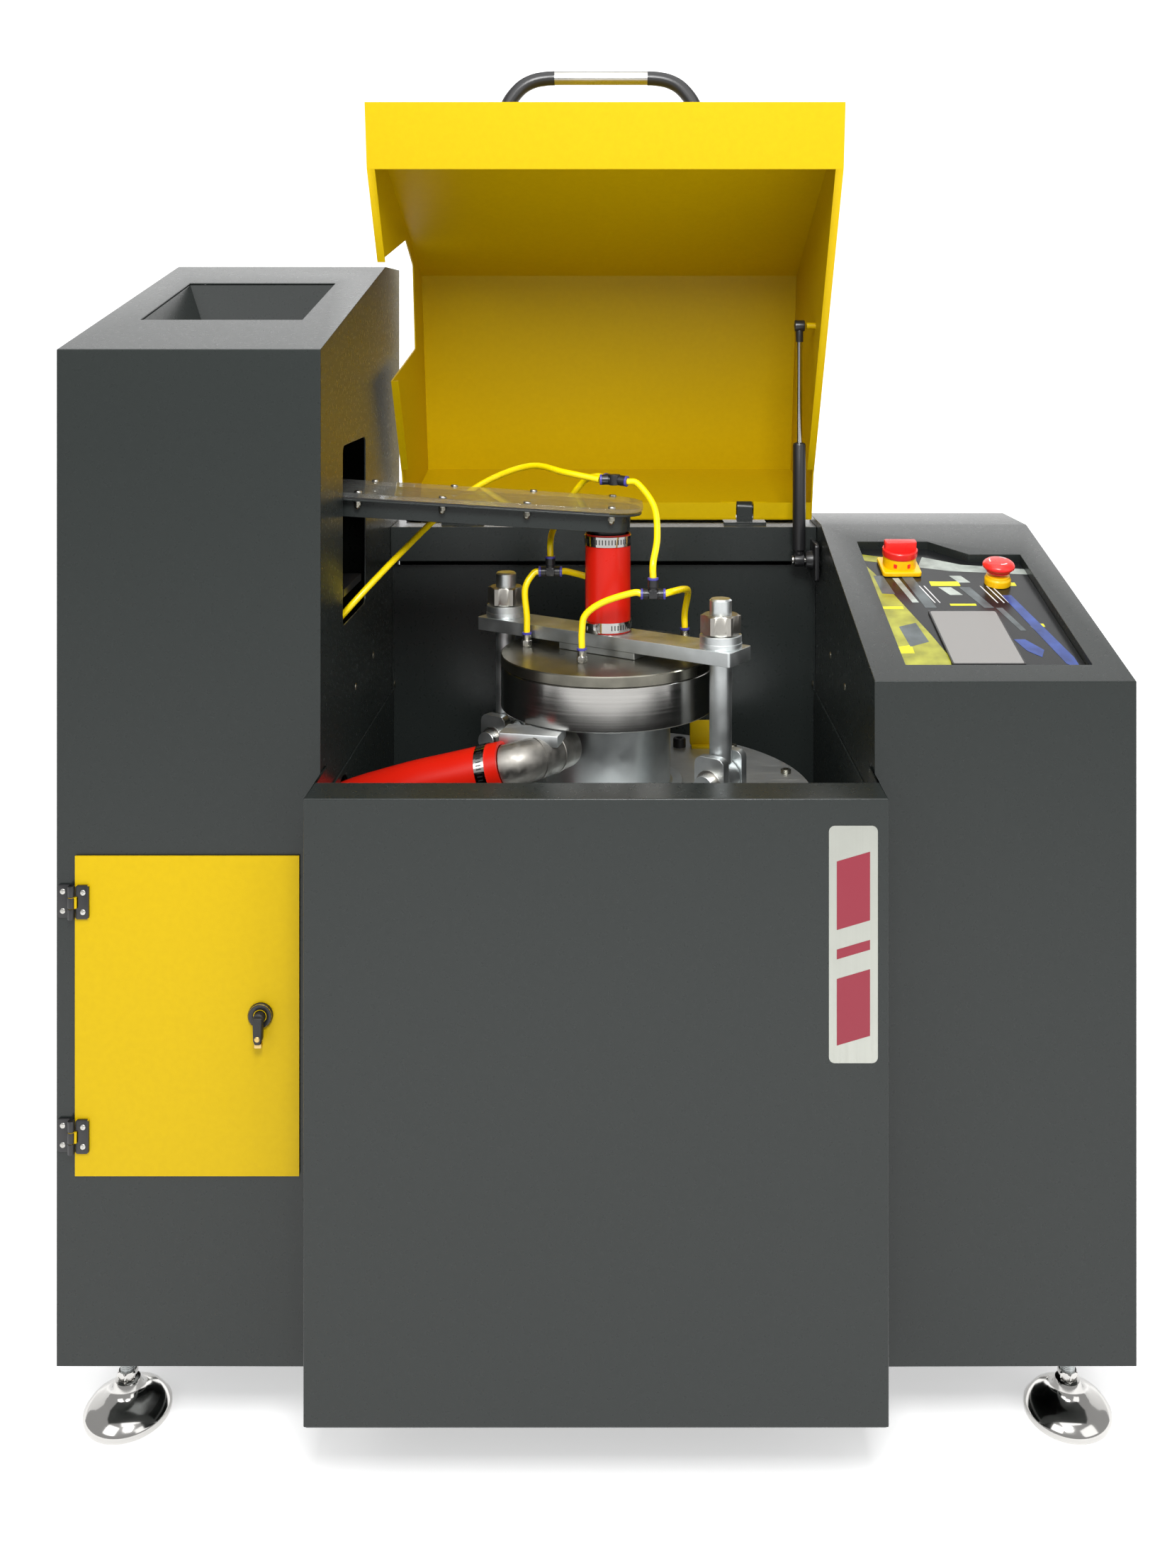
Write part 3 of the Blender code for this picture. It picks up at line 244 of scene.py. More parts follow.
def piece(name, bm, finish, body, node=None, slot=None, angle=32):
    """Closes a mesh into an object that rides on a body, and may stand for a CAD node."""
    bmesh.ops.recalc_face_normals(bm, faces=bm.faces)
    mesh = bpy.data.meshes.new(name)
    bm.to_mesh(mesh)
    bm.free()
    mesh.materials.append(finish)
    mesh.shade_smooth()
    mesh.set_sharp_from_angle(angle=math.radians(angle))
    made = bpy.data.objects.new(name, mesh)
    bpy.context.scene.collection.objects.link(made)
    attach(made, body)
    if node:
        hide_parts(*([node] if isinstance(node, str) else node))
    return made


def skin(bm, rows):
    """Joins closed rows of corners, each to the next, by a band of faces."""
    for a, b in zip(rows, rows[1:]):
        for k in range(len(a)):
            bm.faces.new((a[k], a[(k + 1) % len(a)], b[(k + 1) % len(a)], b[k]))


def turned(bm, profile, place=Matrix.Identity(4), sides=48, closed=False):
    """Adds a profile of (radius, height) points spun about the place's Z axis."""
    before = set(bm.verts)
    points = [bm.verts.new((r, 0, h)) for r, h in profile]
    edges = [bm.edges.new(pair) for pair in zip(points, points[1:])]
    if closed:
        edges.append(bm.edges.new((points[-1], points[0])))
    turn = {"angle": 2 * math.pi, "steps": sides, "axis": (0, 0, 1), "cent": (0, 0, 0)}
    bmesh.ops.spin(bm, geom=points + edges, use_merge=True, **turn)
    added = [v for v in bm.verts if v not in before]
    bmesh.ops.transform(bm, matrix=place, verts=added)
    bmesh.ops.remove_doubles(bm, verts=added, dist=1e-6)


def tube_wall(inner, outer, low, high):
    """The section of a turned tube, or of a disc when its inner radius is nought."""
    return [(inner, low), (outer, low), (outer, high), (inner, high)]


def rounded_ends(profile, radius, steps=3):
    """A turned profile with its outer corners rounded."""
    made = [profile[0]]
    for before, here, after in zip(profile, profile[1:], profile[2:]):
        here, before, after = Vector(here), Vector(before), Vector(after)
        a, b = before - here, after - here
        reach = min(radius, a.length / 2, b.length / 2)
        start, end = here + a.normalized() * reach, here + b.normalized() * reach
        for i in range(steps + 1):
            t = i / steps
            made.append(tuple((1 - t) ** 2 * start + 2 * t * (1 - t) * here + t * t * end))
    made.append(profile[-1])
    return made


def prism(bm, outline, low, high, place=Matrix.Identity(4), bevel=0.0, steps=2):
    """Adds an outline in the place's XY plane, extruded along its Z, with softened edges."""
    before = set(bm.verts)
    face = bm.faces.new([bm.verts.new((a, b, low)) for a, b in outline])
    made = bmesh.ops.extrude_face_region(bm, geom=[face])
    top = [v for v in made["geom"] if isinstance(v, bmesh.types.BMVert)]
    bmesh.ops.translate(bm, verts=top, vec=(0, 0, high - low))
    if bevel:
        edges = [e for e in bm.edges if e.verts[0] not in before and len(e.link_faces) == 2]
        sharp = [e for e in edges if e.calc_face_angle() > SHARP_FOLD]
        bmesh.ops.bevel(bm, geom=sharp, offset=bevel, segments=steps, affect="EDGES", profile=0.5)
    added = [v for v in bm.verts if v not in before]
    bmesh.ops.transform(bm, matrix=place, verts=added)


def oblong(left, low, right, high):
    return ((left, low), (right, low), (right, high), (left, high))


def block(bm, low, high, place=Matrix.Identity(4), bevel=0.0):
    prism(bm, oblong(*low[:2], *high[:2]), low[2], high[2], place, bevel)


def rounded(low, high, radius, steps=6):
    corners = (
        (high[0] - radius, high[1] - radius, 0),
        (low[0] + radius, high[1] - radius, 90),
        (low[0] + radius, low[1] + radius, 180),
        (high[0] - radius, low[1] + radius, 270),
    )
    points = []
    for x, y, start in corners:
        for i in range(steps + 1):
            angle = math.radians(start + 90 * i / steps)
            points.append((x + radius * math.cos(angle), y + radius * math.sin(angle)))
    return points


def smooth_path(points, count):
    """Evenly numbered points on a Catmull-Rom curve through the given ones."""
    ends = [2 * points[0] - points[1], *points, 2 * points[-1] - points[-2]]
    spans = len(points) - 1
    path = []
    for i in range(count):
        t = spans * i / (count - 1)
        k = min(int(t), spans - 1)
        a, b, c, d = ends[k : k + 4]
        u = t - k
        path.append(
            0.5 * (2 * b + (c - a) * u + (2 * a - 5 * b + 4 * c - d) * u**2 + (3 * b - a - 3 * c + d) * u**3)
        )
    return path


def sweep(bm, path, radii, sides=24, bore=None):
    """Adds a round bar along a path; radii is one number or one for each point."""
    radii = radii if hasattr(radii, "__len__") else [radii] * len(path)
    side = Vector((0, 0, 1))
    outer, inner = [], []
    for i, point in enumerate(path):
        along = (path[min(i + 1, len(path) - 1)] - path[max(i - 1, 0)]).normalized()
        if i == 0 and abs(along.z) > 0.9:
            side = Vector((1, 0, 0))
        side = (side - along * side.dot(along)).normalized()
        across = along.cross(side)
        turns = [2 * math.pi * k / sides for k in range(sides)]
        spokes = [side * math.cos(t) + across * math.sin(t) for t in turns]
        outer.append([bm.verts.new(point + radii[i] * s) for s in spokes])
        if bore:
            inner.append([bm.verts.new(point + bore * s) for s in spokes])
    skin(bm, outer)
    skin(bm, inner)
    for end in (0, -1):
        if bore:
            skin(bm, (outer[end], inner[end]))
        else:
            bm.faces.new(outer[end])


def hex_nut(bm, place, across, height, bore=0.0, chamfer=0.12):
    """A hexagon with its corners turned down at both ends, bored or solid."""
    flat = across / 2
    drop = flat / math.cos(math.pi / 6) * chamfer
    steps = [2 * math.pi * i / NUT_STEPS for i in range(NUT_STEPS)]
    hexagon = [flat / math.cos((t + math.pi / 6) % (math.pi / 3) - math.pi / 6) for t in steps]
    turned_down = [flat * 0.985] * NUT_STEPS
    levels = ((0, turned_down), (drop, hexagon), (height - drop, hexagon), (height, turned_down))
    if bore:
        levels += ((height, [bore] * NUT_STEPS), (0, [bore] * NUT_STEPS))
    rings = []
    for z, reach in levels:
        spokes = zip(steps, reach)
        rings.append([bm.verts.new(place @ Vector((r * math.cos(t), r * math.sin(t), z))) for t, r in spokes])
    if bore:
        rings.append(rings[0])
    else:
        bm.faces.new(rings[0])
        bm.faces.new(rings[-1])
    skin(bm, rings)


def cap_screw(bm, place, radius, height):
    """A socket-head cap screw standing on the place's XY plane."""
    hole, floor = radius * 0.52, height * 0.45
    profile = [(0, floor), (hole, floor), (hole, height), (radius * 0.9, height), (radius, height * 0.86)]
    turned(bm, [*profile, (radius, 0), (0, 0)], place, 24)


def pan_screw(bm, place, radius, height):
    """A round-headed screw with a cross recess."""
    dome = [(radius * math.cos(math.pi / 12 * k), height * math.sin(math.pi / 12 * k)) for k in range(6)]
    turned(bm, [*dome, (0, height)], place, 20)
    for turn in (0, math.pi / 2):
        half, thin = radius * 0.45, radius * 0.09
        slot = place @ Matrix.Rotation(turn, 4, "Z")
        block(bm, (-half, -thin, height * 0.8), (half, thin, height * 1.015), slot)


# ---------------------------------------------------------------- places and routes

CABINET = Matrix.Translation(at(0, 0, 0))
CONSOLE_UP = (0, -math.sin(CONSOLE_SLOPE), math.cos(CONSOLE_SLOPE))
CONSOLE = frame_at(at(0, 0, CONSOLE_Z[0]), CONSOLE_UP, (1, 0, 0))
FEEDER = Matrix.Translation(at(*VESSEL, FEED_Z)) @ Matrix.Rotation(FEED_SLOPE, 4, "Y")
CLAMP = Matrix.Translation(at(*VESSEL, 0)) @ Matrix.Rotation(BAR_TURN, 4, "Z")
LID = Matrix.Translation(at(*HINGE)) @ Matrix.Rotation(-LID_OPEN, 4, "X") @ Matrix.Translation(-HINGE)
PLATE_TOP = 0.562
BOWL_LID_TOP = 0.7305
BAR_TOP = 0.755
HOSE_R = 0.02825
STRUT_LOW = Vector((0.2735, 0.440, 0.800))
STRUT_HIGH = Vector((0.2735, 0.433, 1.126))
DISCHARGE_ROUTE = (
    (-0.104, 0.0535, 0.633), (-0.160, 0.0660, 0.6170), (-0.220, 0.0830, 0.5985), (-0.300, 0.1090, 0.5660),
    (-0.362, 0.1370, 0.5180), (-0.402, 0.1680, 0.4500), (-0.418, 0.1940, 0.3760),
)
SUPPLY_ROUTE = (
    (-0.0006, 0.2120, 0.9370), (-0.045, 0.2320, 0.9440), (-0.090, 0.2720, 0.9480), (-0.150, 0.2880, 0.9250),
    (-0.205, 0.2740, 0.8850), (-0.250, 0.2250, 0.8420), (-0.299, 0.1780, 0.7900), (-0.345, 0.1850, 0.7350),
    (-0.385, 0.2450, 0.6700), (-0.415, 0.3300, 0.5700), (-0.432, 0.4050, 0.4500), (-0.440, 0.4650, 0.3500),
    (-0.440, 0.5050, 0.3050), (-0.440, 0.5374, 0.3000),
)


def vectors(points):
    return [Vector(p) for p in points]


def route(points, count):
    return [moved(p) for p in smooth_path(vectors(points), count)]


def run_length(path):
    return sum((b - a).length for a, b in zip(path, path[1:]))


def thread(bm, place, radius, low, high, pitch=0.0016):
    """A threaded shank, as a stack of shallow grooves."""
    profile = [(0, low), (radius - 0.0006, low)]
    count = int((high - low - 0.001) / pitch)
    for i in range(count):
        z = low + 0.0005 + i * pitch
        profile += [(radius - 0.0006, z), (radius, z + pitch * 0.45), (radius, z + pitch * 0.6)]
    profile += [(radius - 0.0006, high - 0.0004), (radius - 0.0010, high), (0, high)]
    turned(bm, profile, place, 28)


def band(name, place, radius, body, turn=0.0):
    """A worm-drive band clamp round a hose: the slotted strap, its housing and its screw."""
    bm = bmesh.new()
    strap = 0.0012
    turned(bm, tube_wall(radius, radius + strap, -0.006, 0.006), place, 64, closed=True)
    seat = place @ Matrix.Rotation(turn, 4, "Z") @ Matrix.Translation((0, radius + strap, 0))
    block(bm, (-0.0085, 0, -0.0062), (0.0085, 0.0062, 0.0062), seat, 0.0012)
    axle = seat @ Matrix.Translation((0.0085, 0.0034, 0)) @ Matrix.Rotation(math.pi / 2, 4, "Y")
    hex_nut(bm, axle, 0.0068, 0.0045)
    turned(bm, tube_wall(0, 0.0042, -0.0035, 0.0012), axle, 20)
    piece(name, bm, CHROME, body, slot="polished_steel")
    bm = bmesh.new()
    for i in range(6, 40):
        spoke = place @ Matrix.Rotation(turn + 2 * math.pi * i / 46, 4, "Z")
        slot = spoke @ Matrix.Translation((0, radius + 0.0011, 0))
        block(bm, (-0.0006, 0, -0.0030), (0.0006, 0.00025, 0.0030), slot)
    piece(name + "_slots", bm, BLACK, body, slot="black_plastic")


# ---------------------------------------------------------------- pieces


def cords():
    """The red discharge hose and the yellow supply tube, each along its whole length."""
    path = route(DISCHARGE_ROUTE, 30)
    bm = bmesh.new()
    sweep(bm, path, HOSE_R, 48, bore=HOSE_R - 0.0040)
    hose = piece("discharge_hose_run", bm, SILICONE, "grinding_unit", "discharge_hose", "red_silicone")
    line = [tuple(p) for p in path]
    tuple(path[0])
    run_length(path)
    along = (path[1] - path[0]).normalized()
    place = frame_at(path[0] + along * 0.020, along)
    band("discharge_band", place, HOSE_R, "grinding_unit", math.radians(-60))
    path = route(SUPPLY_ROUTE, 60)
    bm = bmesh.new()
    sweep(bm, path, TUBE_R, 20)
    tube = piece("air_supply_run", bm, TUBING, "grinding_unit", "air_supply_tube", "air_tube")
    line = [tuple(p) for p in path]
    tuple(path[0])
    run_length(path)


def feet():
    """Polished domed pads on threaded spindles with lock nuts."""
    rim = [(0, 0), (0.0440, 0), (0.0472, 0.0015), (0.0480, 0.0045), (0.0478, 0.0080)]
    dome = [(0.046, 0.0105), (0.042, 0.0155), (0.036, 0.0195), (0.028, 0.0228), (0.0205, 0.0262)]
    neck = [(0.0172, 0.0300), (0.0158, 0.0335), (0.0150, 0.0372), (0.0135, 0.0402), (0.0105, 0.0418)]
    for where, (x, y) in FEET.items():
        name = "foot_" + where
        place = Matrix.Translation((x, FRONT + y, 0))
        bm = bmesh.new()
        turned(bm, [*rim, *dome, *neck, (0, 0.0420)], place, 64)
        hex_nut(bm, place @ Matrix.Translation((0, 0, 0.0425)), 0.0195, 0.0080, 0.0078)
        hex_nut(bm, place @ Matrix.Translation((0, 0, UNDER - 0.0145)), 0.0240, 0.0125, 0.0078)
        piece(name + "_pad", bm, CHROME, "machine", name, "polished_steel", 35)
        bm = bmesh.new()
        thread(bm, place, 0.0080, 0.0420, UNDER - 0.0004, 0.0020)
        piece(name + "_spindle", bm, PLATED, "machine", slot="satin_steel")


def door_hinges():
    """The two hinges, half on the cabinet and half on the door."""
    x, y = DOOR_PIVOT
    knuckle = 0.0115
    for name, z in HINGE_HEIGHTS.items():
        face = frame_at(at(x, 0, z), (0, -1, 0), (1, 0, 0))
        axle = Matrix.Translation(at(x, y, z))
        bm = bmesh.new()
        prism(bm, rounded((-0.0165, 0.0), (-0.0022, 0.036), 0.0025, 3), GAP, 0.0028, face, 0.0006)
        for low in (0.0, 0.0245):
            turned(bm, rounded_ends(tube_wall(0, 0.0038, low, low + knuckle), 0.0006), axle, 24)
            block(bm, (x - 0.0030, y, z + low), (x, -GAP, z + low + knuckle), CABINET)
        piece(f"door_hinge_{name}_fixed", bm, BLACK, "machine", "door_hinge_" + name, "black_plastic")
        bm = bmesh.new()
        prism(bm, rounded((0.0040, -0.0003), (0.0184, 0.0363), 0.0025, 3), 0.0030, 0.0062, face, 0.0006)
        turned(bm, rounded_ends(tube_wall(0, 0.0040, 0.0122, 0.0238), 0.0006), axle, 24)
        block(bm, (0.0, 0.0122, 0.0040), (0.0070, 0.0238, 0.0062), face)
        piece(f"door_hinge_{name}_leaf", bm, BLACK, "door", slot="black_plastic")
        for side, across, proud in (("machine", -0.0108, 0.0028), ("door", 0.0122, 0.0062)):
            bm = bmesh.new()
            for up in (0.0075, 0.0285):
                pan_screw(bm, face @ Matrix.Translation((across, up, proud)), 0.0031, 0.0009)
            piece(f"door_hinge_{name}_{side}_screws", bm, BRIGHT, side, slot="polished_steel")


def door_latch():
    """The quarter-turn latch: its bezel, its winged knob and the cam behind the door."""
    face = frame_at(at(LATCH_AT[0], 0, LATCH_AT[1]), (0, -1, 0), (1, 0, 0))
    bm = bmesh.new()
    rim = [(0.0068, 0.0030), (0.0135, 0.0030), (0.0135, 0.0062), (0.0122, 0.0078)]
    turned(bm, [*rim, (0.0092, 0.0080), (0.0068, 0.0070)], face, 48, closed=True)
    piece("latch_bezel", bm, BLACK, "door", slot="black_plastic")
    bm = bmesh.new()
    barrel = [(0, -0.0220), (0.0055, -0.0220), (0.0055, 0.0090), (0.0062, 0.0096), (0.0062, 0.0150)]
    turned(bm, [*barrel, (0.0050, 0.0162), (0, 0.0162)], face, 32)
    half = [(0.0052, 0.0030), (0.0046, -0.0210), (0.0028, -0.0255)]
    wing = [(-x, y) for x, y in half] + half[::-1]
    prism(bm, wing, 0.0092, 0.0190, face, 0.0014, 3)
    piece("latch_knob", bm, SOFT_BLACK, "latch", "latch_key", "black_plastic")
    bm = bmesh.new()
    block(bm, (-0.006, -0.040, -0.0215), (0.006, 0.004, -0.0185), face, 0.0008)
    rivet = [(0, 0.0162), (0.0030, 0.0162), (0.0030, 0.0193), (0.0022, 0.0198), (0, 0.0198)]
    turned(bm, rivet, face @ Matrix.Translation((0, -0.0190, 0)), 24)
    block(bm, (-0.0040, -0.0300, 0.0100), (0.0040, -0.0250, 0.0165), face, 0.0008)
    piece("latch_cam", bm, BRASS, "latch", slot="satin_steel")


def lid_fittings():
    """The bow handle: black ends bolted to the lid, and a bright tube between them."""
    low, high = LID_FRONT
    along = (high - low).normalized()
    normal = Vector((0, -along.z, along.y))
    foot = low + along * 0.040 + normal * 0.0005
    across = Vector((1, 0, 0))
    shape = ((0.118, 0.0), (0.1175, 0.010), (0.112, 0.026), (0.099, 0.0440), (0.084, 0.0535), (0.068, 0.0570))
    for side, sign in (("left", -1), ("right", 1)):
        points = [foot + across * (sign * x + 0.001) + normal * h for x, h in (*shape, (0.058, 0.0575))]
        path = [LID @ p for p in smooth_path(points, 22)]
        bm = bmesh.new()
        radii = [0.0125, 0.0115, *[0.0090] * 20]
        sweep(bm, path, radii, 28)
        place = frame_at(LID @ points[0], LID.to_3x3() @ normal, (1, 0, 0))
        turned(bm, [(0, 0), (0.0150, 0), (0.0150, 0.0030), (0.0128, 0.0052), (0, 0.0052)], place, 32)
        piece("handle_end_" + side, bm, BLACK, "lid", "lid_handle", "black_plastic")
    ends = [LID @ (foot + across * x + normal * 0.0577) for x in (-0.0625, 0.0645)]
    bm = bmesh.new()
    sweep(bm, [ends[0].lerp(ends[1], i / 4) for i in range(5)], 0.0088, 32)
    piece("handle_tube", bm, BRIGHT, "lid", "lid_handle", "satin_steel")


def gas_strut():
    """The lid's gas strut with its eyes, and the wall mount and pin that carry it."""
    reach = STRUT_HIGH - STRUT_LOW
    place = frame_at(at(*STRUT_LOW), reach, (1, 0, 0))
    along = place @ Matrix.Translation((0, 0, reach.length))
    eye = Matrix.Rotation(math.pi / 2, 4, "Y")
    bm = bmesh.new()
    turned(bm, rounded_ends(tube_wall(0.0049, 0.0090, -0.0068, 0.0068), 0.0012), place @ eye, 36, closed=True)
    tube = [(0.0045, 0.0082), (0.0062, 0.0082), (0.0062, 0.0120), (0.0090, 0.0150), (0.0090, 0.1600)]
    turned(bm, [*tube, (0.0078, 0.1630), (0.0045, 0.1640)], place, 40, closed=True)
    piece("strut_tube", bm, BLACK, "strut_cylinder", "strut_cylinder", "black_plastic")
    bm = bmesh.new()
    wall = frame_at(at(0.298, STRUT_LOW.y, STRUT_LOW.z), (-1, 0, 0), (0, 1, 0))
    prism(bm, rounded((-0.029, -0.026), (0.021, 0.026), 0.005), 0.0, 0.0060, wall, 0.0010)
    hub = [(0, 0.0055), (0.0135, 0.0055), (0.0115, 0.0160), (0, 0.0160)]
    turned(bm, rounded_ends(hub, 0.0012), wall, 40)
    piece("strut_mount", bm, BLACK, "machine", "strut_bracket", "black_plastic")
    bm = bmesh.new()
    pin = [(0, 0.0150), (0.0043, 0.0150), (0.0043, 0.0318), (0.0064, 0.0318), (0.0064, 0.0345), (0, 0.0350)]
    turned(bm, rounded_ends(pin, 0.0006), wall, 32)
    piece("strut_pin_turned", bm, BRIGHT, "machine", "strut_bracket", "polished_steel")
    bm = bmesh.new()
    turned(bm, tube_wall(0, 0.0040, 0.136, reach.length - 0.0065), place, 28)
    piece("strut_bar", bm, CHROME, "strut_rod", "strut_rod", "polished_steel")
    bm = bmesh.new()
    turned(bm, rounded_ends(tube_wall(0, 0.0052, -0.0225, -0.0060), 0.0010), along, 28)
    turned(bm, rounded_ends(tube_wall(0.0030, 0.0080, -0.0068, 0.0068), 0.0012), along @ eye, 32, closed=True)
    piece("strut_socket", bm, BLACK, "strut_rod", slot="black_plastic")


def inlet():
    """The red sleeve between the clamp bar's nipple and the feeder's spout."""
    low, high = BAR_TOP + GAP, 0.874
    bm = bmesh.new()
    wall = []
    levels = 24
    for i in range(levels + 1):
        t = i / levels
        pinch = 0.0006 * (math.exp(-((t - 0.06) * 24) ** 2) + math.exp(-((t - 0.93) * 24) ** 2))
        wall.append((HOSE_R - 0.0006 - pinch, low + (high - low) * t))
    wall += [(0.0262, high), (0.0262, low)]
    turned(bm, wall, Matrix.Translation(at(*VESSEL, 0)), 64, closed=True)
    piece("inlet_sleeve", bm, SILICONE, "grinding_unit", "inlet_hose", "red_silicone")
    for name, z, turn in (("low", low + 0.0075, 2.5), ("high", high - 0.0080, 0.6)):
        band("inlet_band_" + name, Matrix.Translation(at(*VESSEL, z)), HOSE_R - 0.0008, "grinding_unit", turn)


def chute():
    """The cast outlet under the bowl, with its ribs and the flange block above it."""
    start, second = (moved(p) for p in DISCHARGE_ROUTE[:2])
    along = (second - start).normalized()
    points = [moved(p) for p in ((-0.040, 0.118, 0.636), (-0.058, 0.084, 0.638), (-0.078, 0.0600, 0.638))]
    path = [*smooth_path([*points, start - along * 0.008], 22), start - along * 0.001]
    bm = bmesh.new()
    sweep(bm, path, 0.0235, 40, bore=0.0205)
    for t, width in ((6, 0.0016), (12, 0.0012)):
        place = frame_at(path[t], path[t + 1] - path[t - 1])
        rib = [(0.0230, -width), (0.0243, -width * 0.5), (0.0243, width * 0.5), (0.0230, width)]
        turned(bm, rib, place, 40, closed=True)
    piece("chute_body", bm, CAST, "grinding_unit", "outlet_chute", "satin_steel")
    bm = bmesh.new()
    seat = frame_at(at(-0.074, 0.083, 0.6520), (0, 0, 1), (-along.x, -along.y, 0))
    block(bm, (-0.036, -0.018, 0), (0.034, 0.019, 0.0136), seat, 0.0018)
    piece("chute_flange", bm, GROUND, "grinding_unit", "outlet_chute", "satin_steel")


def fitting_ring(bm, place, low, radius=0.0064):
    """The release ring at the mouth of a push-in fitting."""
    turned(bm, rounded_ends(tube_wall(0.0042, radius, low, low + 0.0028), 0.0006), place, 28, closed=True)


def barrel(bm, place, length, radius=0.0060):
    """One arm of a push-in fitting, waisted at its root."""
    waist = radius * 0.86
    root = [(0, 0), (waist, 0), (waist, length * 0.45), (radius, length * 0.5)]
    turned(bm, [*root, (radius, length), (0, length)], place, 28)


def air_lines():
    """Black push-in fittings with blue rings, yellow tubes, and bright ports on the bowl's lid."""
    drops = {
        "left": ("left", -1, ((-0.083, 0.2285, 0.8185), (-0.093, 0.222, 0.800))),
        "back": ("left", 1, ((-0.040, 0.238, 0.819), (-0.008, 0.258, 0.806), (0.022, 0.269, 0.788))),
        "front": ("right", -1, ((0.040, 0.125, 0.814), (0.005, 0.130, 0.802), (-0.016, 0.134, 0.786))),
        "right": ("right", 1, ((0.086, 0.130, 0.8145), (0.102, 0.170, 0.810), (0.109, 0.222, 0.796))),
    }
    tees = {"left": LEFT_TEE, "right": RIGHT_TEE}
    for side, tee in tees.items():
        black, blue = bmesh.new(), bmesh.new()
        for up in ((-1, 0, 0), (1, 0, 0), (0, 0, 1)):
            place = frame_at(at(*tee), up)
            reach = 0.0165 if up[2] else 0.0118
            barrel(black, place, reach)
            fitting_ring(blue, place, reach)
        heart = Vector((0.0052, 0.0050, 0.0052))
        block(black, -heart, heart, Matrix.Translation(at(*tee)), 0.0012)
        piece(f"air_tee_{side}_body", black, BLACK, "grinding_unit", f"air_tee_{side}", "black_plastic")
        piece(f"air_tee_{side}_rings", blue, BLUE, "grinding_unit", slot="black_plastic")
    for name, (side, sign, points) in drops.items():
        port = Vector((*AIR_PORTS[name], BOWL_LID_TOP))
        start = tees[side] + Vector((sign * 0.0125, 0, 0))
        tube = [start, *vectors(points), port + Vector((0, 0, 0.036)), port + Vector((0, 0, 0.0170))]
        bm = bmesh.new()
        sweep(bm, [moved(p) for p in smooth_path(tube, 34)], TUBE_R, 20)
        piece(f"air_drop_{name}", bm, TUBING, "grinding_unit", f"air_tee_{side}", "air_tube")
        place = Matrix.Translation(at(*port))
        bm = bmesh.new()
        hex_nut(bm, place @ Matrix.Rotation(0.3, 4, "Z"), 0.0112, 0.0075)
        socket = [(0, 0.0070), (0.0050, 0.0070), (0.0054, 0.0080), (0.0054, 0.0140), (0, 0.0140)]
        turned(bm, socket, place, 32)
        piece(f"air_port_{name}", bm, BRIGHT, "grinding_unit", slot="satin_steel")
        bm = bmesh.new()
        fitting_ring(bm, place, 0.0142, 0.0060)
        piece(f"air_port_{name}_ring", bm, BLUE, "grinding_unit", slot="black_plastic")
    black, blue = bmesh.new(), bmesh.new()
    for up in ((-1, 0, 0), (-0.60, 0.80, 0.0), (0.92, -0.38, -0.08)):
        place = frame_at(at(*UNION), up)
        barrel(black, place, 0.0150, 0.0064)
        fitting_ring(blue, place, 0.0150, 0.0066)
    hub = rounded_ends(tube_wall(0, 0.0078, -0.0066, 0.0066), 0.0016)
    turned(black, hub, Matrix.Translation(at(*UNION)), 32)
    piece("air_union_body", black, BLACK, "grinding_unit", "air_union", "black_plastic")
    piece("air_union_rings", blue, BLUE, "grinding_unit", slot="black_plastic")
    left = ((0.0060, 0.2265, 0.937), (-0.005, 0.242, 0.938), (-0.022, 0.272, 0.928), (-0.044, 0.281, 0.898))
    right = ((0.034, 0.2050, 0.9355), (0.047, 0.1995, 0.933), (0.066, 0.176, 0.908), (0.069, 0.146, 0.876))
    risers = {"left": (LEFT_TEE, (*left, (-0.060, 0.262, 0.868))), "right": (RIGHT_TEE, right)}
    for side, (tee, points) in risers.items():
        tube = [*vectors(points), tee + Vector((0, 0, 0.036)), tee + Vector((0, 0, 0.0185))]
        bm = bmesh.new()
        sweep(bm, [moved(p) for p in smooth_path(tube, 34)], TUBE_R, 20)
        piece(f"air_riser_{side}", bm, TUBING, "grinding_unit", "air_union", "air_tube")


